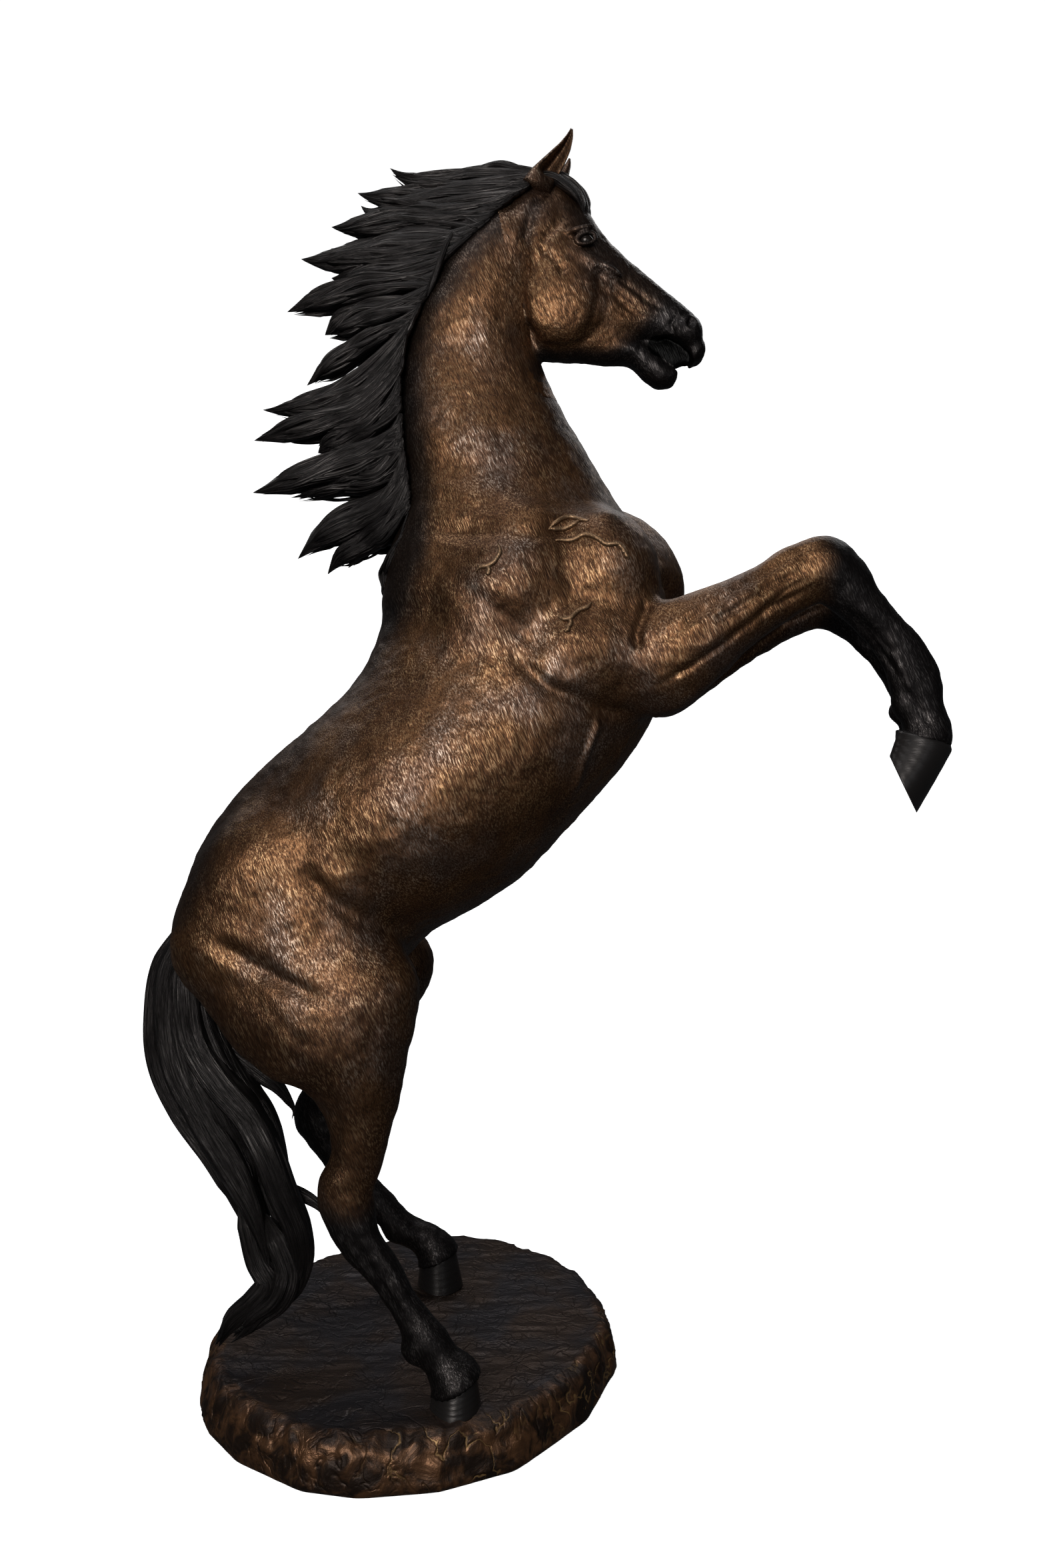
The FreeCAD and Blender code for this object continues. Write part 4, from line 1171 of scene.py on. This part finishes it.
def base(material):
    """Low rock slab: nearly flat standing surface, broken lumpy rim."""
    around = 420
    outline = np.array(BASE_OUTLINE + BASE_OUTLINE[:1])
    grid = np.linspace(0, len(outline) - 1, around, endpoint=False)
    ring = np.stack([np.interp(grid, np.arange(len(outline)), outline[:, c]) for c in (0, 1)], 1)
    for _ in range(6):
        ring = (np.roll(ring, 1, 0) + 2 * ring + np.roll(ring, -1, 0)) / 4
    levels = [(s, BASE_TOP, s) for s in np.linspace(0.02, 0.93, 72)]
    levels += [(s, z, 1.0 + (BASE_TOP - z)) for s, z in BASE_RIM]
    points = np.vstack([np.column_stack([BASE_CENTRE + (ring - BASE_CENTRE) * s, np.full(around, z)])
                        for s, z, _ in levels])
    # rim: below 1 on the top, growing down the side
    rim = np.repeat([level[2] for level in levels], around)
    lump = 0.45 * lattice(points * [9, 9, 14], 21)
    lump += 0.3 * (1 - 2 * np.abs(lattice(points * [22, 22, 26], 22)))
    lump += 0.2 * (1 - 2 * np.abs(lattice(points * [48, 48, 50], 23)))
    edge = ramp(rim, 0.9, 1.01) * ramp(points[:, 2], 0.0, 0.02)
    points[:, :2] += unit(points[:, :2] - BASE_CENTRE, TINY) * (0.015 * lump * edge)[:, None]
    swell = 0.004 * lattice(points * [6, 6, 1], 24) + 0.0022 * lattice(points * [16, 60, 1], 25)
    rimlump = 0.014 * lump * ramp(rim, 0.88, 1.0) * (1 - 0.75 * ramp(points[:, 1], 0.0, 0.3))
    points[:, 2] += np.where(points[:, 2] > 0.05, swell - 0.002 + rimlump, 0)
    standing = rim < 0.9
    points[standing, 2] = np.minimum(points[standing, 2], BASE_TOP + 0.004)
    # brown rock on the rim, except along the back
    brown = ramp(rim, 0.965, 1.035) * (1 - ramp(points[:, 1], 0.0, 0.35))
    obj = sweep("base_rock", points.reshape(-1, around, 3), {"rim": brown})
    piece(obj, "base_casting", material)


# ---------------------------------------------------------------- materials

class Nodes:
    """Short helpers for one material's node tree."""

    def __init__(self, name):
        self.material = bpy.data.materials.new(name)
        self.material.use_nodes = True
        self.tree = self.material.node_tree
        self.shader = self.tree.nodes["Principled BSDF"]

    def new(self, kind, **settings):
        node = self.tree.nodes.new(kind)
        for key, value in settings.items():
            setattr(node, key, value)
        return node

    def link(self, source, target):
        self.tree.links.new(source, target)

    def value(self, socket, value):
        if hasattr(value, "is_output"):
            self.link(value, socket)
        else:
            socket.default_value = value

    def fill(self, node, **values):
        for key, value in values.items():
            self.value(node.inputs[key.replace("_", " ")], value)

    def coords(self, scale, angle=0.0):
        """Object coordinates turned about Y, then stretched."""
        place = self.new("ShaderNodeTexCoord")
        turn = self.new("ShaderNodeMapping", vector_type="POINT")
        self.fill(turn, Rotation=(0, math.radians(angle), 0), Vector=place.outputs["Object"])
        stretch = self.new("ShaderNodeMapping", vector_type="POINT")
        self.fill(stretch, Scale=scale, Vector=turn.outputs["Vector"])
        return stretch.outputs["Vector"]

    def noise(self, vector, scale=1.0, detail=2.0, roughness=0.5, distortion=0.0):
        node = self.new("ShaderNodeTexNoise")
        self.fill(node, Vector=vector, Scale=scale, Detail=detail, Roughness=roughness,
                  Distortion=distortion)
        return node.outputs["Fac"]

    def span(self, value, low, high, to_low=0.0, to_high=1.0):
        """A smooth step from to_low at low up to to_high at high."""
        node = self.new("ShaderNodeMapRange", interpolation_type="SMOOTHSTEP")
        self.fill(node, Value=value, From_Min=low, From_Max=high, To_Min=to_low, To_Max=to_high)
        return node.outputs["Result"]

    def math(self, operation, a, b=0.0):
        node = self.new("ShaderNodeMath", operation=operation)
        self.value(node.inputs[0], a)
        self.value(node.inputs[1], b)
        return node.outputs[0]

    def times(self, a, b):
        return self.math("MULTIPLY", a, b)

    def mix(self, factor, a, b):
        node = self.new("ShaderNodeMix", data_type="RGBA")
        self.value(node.inputs[0], factor)
        self.value(node.inputs[6], a)
        self.value(node.inputs[7], b)
        return node.outputs[2]

    def attribute(self, name):
        return self.new("ShaderNodeAttribute", attribute_name=name).outputs["Fac"]

    def bump(self, height, distance, strength=1.0, under=None):
        node = self.new("ShaderNodeBump")
        self.fill(node, Strength=strength, Distance=distance, Height=height)
        if under is not None:
            self.link(under, node.inputs["Normal"])
        return node.outputs["Normal"]

    def finished(self, **values):
        """The material, once its shader has these values."""
        self.fill(self.shader, **values)
        return self.material


def rgb(r, g, b):
    return (r, g, b, 1.0)


def horse_material():
    """Bay and black patina with short chiselled hair strokes slanting down the flanks; painted highlights on
    the stroke crests and the veins, and painted shade in the mouth.
    """
    m = Nodes("horse_bronze")
    slant = 22.0
    stroke = m.noise(m.coords((330, 330, 40), slant), detail=1.5, roughness=0.55, distortion=0.25)
    finer = m.noise(m.coords((620, 620, 90), slant), detail=1.0)
    patch = m.noise(m.coords((13, 13, 10), slant), detail=4.0, roughness=0.6)
    cloud = m.noise(m.coords((7, 7, 7)), detail=4.0)
    silver = m.noise(m.coords((6.5, 6.5, 5.0)), detail=3.0)
    height = m.math("ADD", m.times(stroke, 0.68), m.times(finer, 0.32))
    peaks = m.span(height, 0.5, 0.63)
    pits = m.span(height, 0.5, 0.38)
    bay_shade_and_glint = m.attribute("bay_shade_and_glint")
    brown = m.mix(m.span(cloud, 0.34, 0.66), rgb(0.078, 0.034, 0.015), rgb(0.135, 0.062, 0.026))
    brown = m.mix(m.span(silver, 0.46, 0.72, 0.0, 0.55), brown, rgb(0.092, 0.064, 0.052))
    brown = m.mix(m.times(pits, 0.75), brown, rgb(0.024, 0.012, 0.007))
    # painted highlights on the stroke crests, brighter in scattered patches
    glint = m.mix(m.span(silver, 0.44, 0.7), rgb(0.43, 0.275, 0.145), rgb(0.48, 0.4, 0.345))
    brown = m.mix(m.times(peaks, m.span(patch, 0.34, 0.7, 0.18, 0.75)), brown, glint)
    # painted gold highlight on the veins, where the coat value is above 1
    brown = m.mix(m.span(bay_shade_and_glint, 1.05, 1.25, 0.0, 0.4), brown, rgb(0.4, 0.26, 0.15))
    # black coat with painted grey highlights on the stroke crests, brighter in patches
    black = m.mix(m.times(peaks, m.span(patch, 0.35, 0.65, 0.15, 0.5)), rgb(0.013, 0.011, 0.011),
                  rgb(0.15, 0.136, 0.132))
    # painted shade inside the mouth, where the coat value is below 0
    black = m.mix(m.span(bay_shade_and_glint, -0.3, -0.9), black, rgb(0.001, 0.001, 0.001))
    normal = m.bump(patch, 0.004, 0.25, m.bump(height, 0.0024, 0.65))
    return m.finished(Base_Color=m.mix(bay_shade_and_glint, black, brown), Metallic=0.85,
                      Roughness=m.span(height, 0.35, 0.7, 0.5, 0.34), Normal=normal)


def hair_material():
    """Black patina, with fine lines that follow each lock and painted highlights along their crests."""
    m = Nodes("hair_bronze")
    vector = m.new("ShaderNodeCombineXYZ")
    m.link(m.attribute("strand"), vector.inputs[0])
    m.link(m.times(m.attribute("run"), 0.022), vector.inputs[1])
    strands = m.noise(vector.outputs[0], scale=300.0, detail=2.0, roughness=0.6)
    finer = m.noise(vector.outputs[0], scale=900.0, detail=2.0)
    height = m.math("ADD", m.times(strands, 0.7), m.times(finer, 0.3))
    cloud = m.noise(m.coords((8, 8, 8)), detail=3.0)
    # painted highlights on the strand crests, brighter in patches
    light = m.times(m.span(height, 0.48, 0.64), m.span(cloud, 0.4, 0.66, 0.12, 0.9))
    colour = m.mix(m.span(height, 0.46, 0.36), rgb(0.013, 0.011, 0.011), rgb(0.003, 0.003, 0.003))
    return m.finished(Base_Color=m.mix(light, colour, rgb(0.11, 0.101, 0.098)), Metallic=0.75,
                      Roughness=m.span(height, 0.3, 0.7, 0.5, 0.34), Normal=m.bump(height, 0.006, 1.0))


def base_material():
    """Blackish top and brown rock with gold-brown cracks on the rim."""
    m = Nodes("base_bronze")
    drift = m.noise(m.coords((16, 26, 16)), detail=5.0, roughness=0.6, distortion=0.6)
    cloud = m.noise(m.coords((6, 6, 6)), detail=4.0)
    grit = m.noise(m.coords((120, 120, 120)), detail=3.0)
    crack = m.noise(m.coords((13, 13, 9)), detail=3.0, distortion=0.5)
    crack = m.math("ABSOLUTE", m.math("SUBTRACT", crack, 0.5))
    top = m.mix(m.span(cloud, 0.38, 0.62), rgb(0.03, 0.026, 0.029), rgb(0.044, 0.028, 0.021))
    top = m.mix(m.times(m.span(drift, 0.54, 0.72), 0.35), top, rgb(0.095, 0.075, 0.065))
    rock = m.mix(m.span(drift, 0.4, 0.64), rgb(0.02, 0.011, 0.007), rgb(0.15, 0.072, 0.034))
    gold = m.times(m.span(crack, 0.016, 0.002), m.span(cloud, 0.46, 0.64))
    rock = m.mix(gold, rock, rgb(0.28, 0.17, 0.07))
    normal = m.bump(m.span(crack, 0.0, 0.04), 0.004, 0.5, m.bump(drift, 0.012, 0.6))
    return m.finished(Base_Color=m.mix(m.attribute("rim"), top, rock), Metallic=0.65,
                      Roughness=m.span(drift, 0.35, 0.7, 0.52, 0.36),
                      Normal=m.bump(grit, 0.0015, 0.5, normal))


def hoof_material():
    m = Nodes("hoof_bronze")
    cloud = m.noise(m.coords((18, 18, 18)), detail=4.0)
    grain = m.noise(m.coords((60, 60, 220)), detail=2.0)
    return m.finished(Base_Color=m.mix(cloud, rgb(0.02, 0.018, 0.018), rgb(0.046, 0.042, 0.041)),
                      Metallic=0.7,
                      Roughness=m.span(cloud, 0.3, 0.7, 0.4, 0.3), Normal=m.bump(grain, 0.0008, 0.5))


def eye_material():
    m = Nodes("eye_bronze")
    cloud = m.noise(m.coords((90, 90, 90)), detail=2.0)
    return m.finished(Base_Color=m.mix(cloud, rgb(0.01, 0.008, 0.008), rgb(0.03, 0.022, 0.018)),
                      Metallic=0.5,
                      Roughness=0.22)


def steel_material():
    m = Nodes("steel")
    brushed = m.noise(m.coords((30, 30, 400)), detail=3.0)
    return m.finished(Base_Color=m.mix(brushed, rgb(0.36, 0.36, 0.37), rgb(0.52, 0.52, 0.53)), Metallic=1.0,
                      Roughness=m.span(brushed, 0.3, 0.7, 0.3, 0.45), Normal=m.bump(brushed, 0.0006, 0.4))


def floor_material():
    m = Nodes("studio_floor")
    cloud = m.noise(m.coords((2, 2, 2)), detail=2.0)
    return m.finished(Base_Color=m.mix(cloud, rgb(0.86, 0.86, 0.86), rgb(0.9, 0.9, 0.9)), Roughness=0.9,
                      Emission_Color=rgb(1, 1, 1), Emission_Strength=0.95)


# ---------------------------------------------------------------- studio

def floor():
    """A broad pale floor that curves up behind into a backdrop."""
    back, bend, half_width = 3.0, 2.5, 9.0
    profile = [(-7.0, 0.0), (back, 0.0)]
    turn = np.linspace(0.1, math.pi / 2, 16)
    profile += [(back + bend * math.sin(a), bend - bend * math.cos(a)) for a in turn]
    profile += [(back + bend, 8.0)]
    points = [(x, y, z) for y, z in profile for x in (-half_width, half_width)]
    faces = [(2 * k, 2 * k + 1, 2 * k + 3, 2 * k + 2) for k in range(len(profile) - 1)]
    obj = make_object("studio_floor", points, faces)
    obj.data.materials.append(floor_material())
    obj.visible_glossy = False
    obj.visible_diffuse = False


def area_light(name, at, target, size, power, colour=(1, 1, 1)):
    light = bpy.data.lights.new(name, "AREA")
    light.shape = "RECTANGLE"
    light.size, light.size_y = size
    light.energy = power
    light.color = colour
    obj = added(name, light)
    obj.location = at
    obj.rotation_euler = (Vector(target) - Vector(at)).to_track_quat("-Z", "Y").to_euler()


def studio():
    scene = bpy.context.scene
    scene.view_settings.view_transform = "Standard"
    scene.world = bpy.data.worlds.new("studio")
    scene.world.use_nodes = True
    background = scene.world.node_tree.nodes["Background"]
    background.inputs["Color"].default_value = rgb(0.6, 0.62, 0.66)
    background.inputs["Strength"].default_value = 0.05
    area_light("key", (-1.0, -5.0, 3.0), (0.1, 0, 1.5), (2.4, 3.0), 210, (1.0, 0.97, 0.93))
    area_light("fill", (2.6, -4.4, 2.0), (0.2, 0, 1.5), (1.2, 2.4), 10, (0.93, 0.96, 1.0))
    area_light("top", (-0.6, -0.8, 5.4), (0.1, 0, 1.5), (2.4, 1.6), 35)
    area_light("floor_wash", (0.0, 2.6, 5.0), (0.0, 3.4, 0.0), (8.0, 2.0), 120)


def camera():
    data = bpy.data.cameras.new("viewpoint")
    data.sensor_fit = "VERTICAL"
    data.sensor_height = SENSOR
    data.lens = SENSOR * FOCAL_RATIO
    data.clip_end = 60
    obj = added("viewpoint", data)
    obj.location = EYE_POINT
    obj.rotation_euler = (math.pi / 2, 0, 0)
    bpy.context.scene.camera = obj


# ---------------------------------------------------------------- assembly

studio()
camera()
floor()
COAT = horse_material()
HAIR = hair_material()
HOOF = hoof_material()
body_pieces(COAT)
head_pieces(COAT)
EYE = eye_material()
for name_of_side in ("right", "left"):
    ear(name_of_side, COAT)
    eyeball(name_of_side, EYE)
mane(HAIR)
forelock(HAIR)
tail(HAIR)
for name_of_hoof, lines_of_hoof in HOOVES.items():
    hoof(name_of_hoof, *lines_of_hoof, HOOF)
base(base_material())
STEEL = steel_material()
for node_name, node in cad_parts.items():
    if node_name.startswith(("armature", "anchor", "plate_screw", "mounting")):
        node.data.materials.clear()
        node.data.materials.append(STEEL)
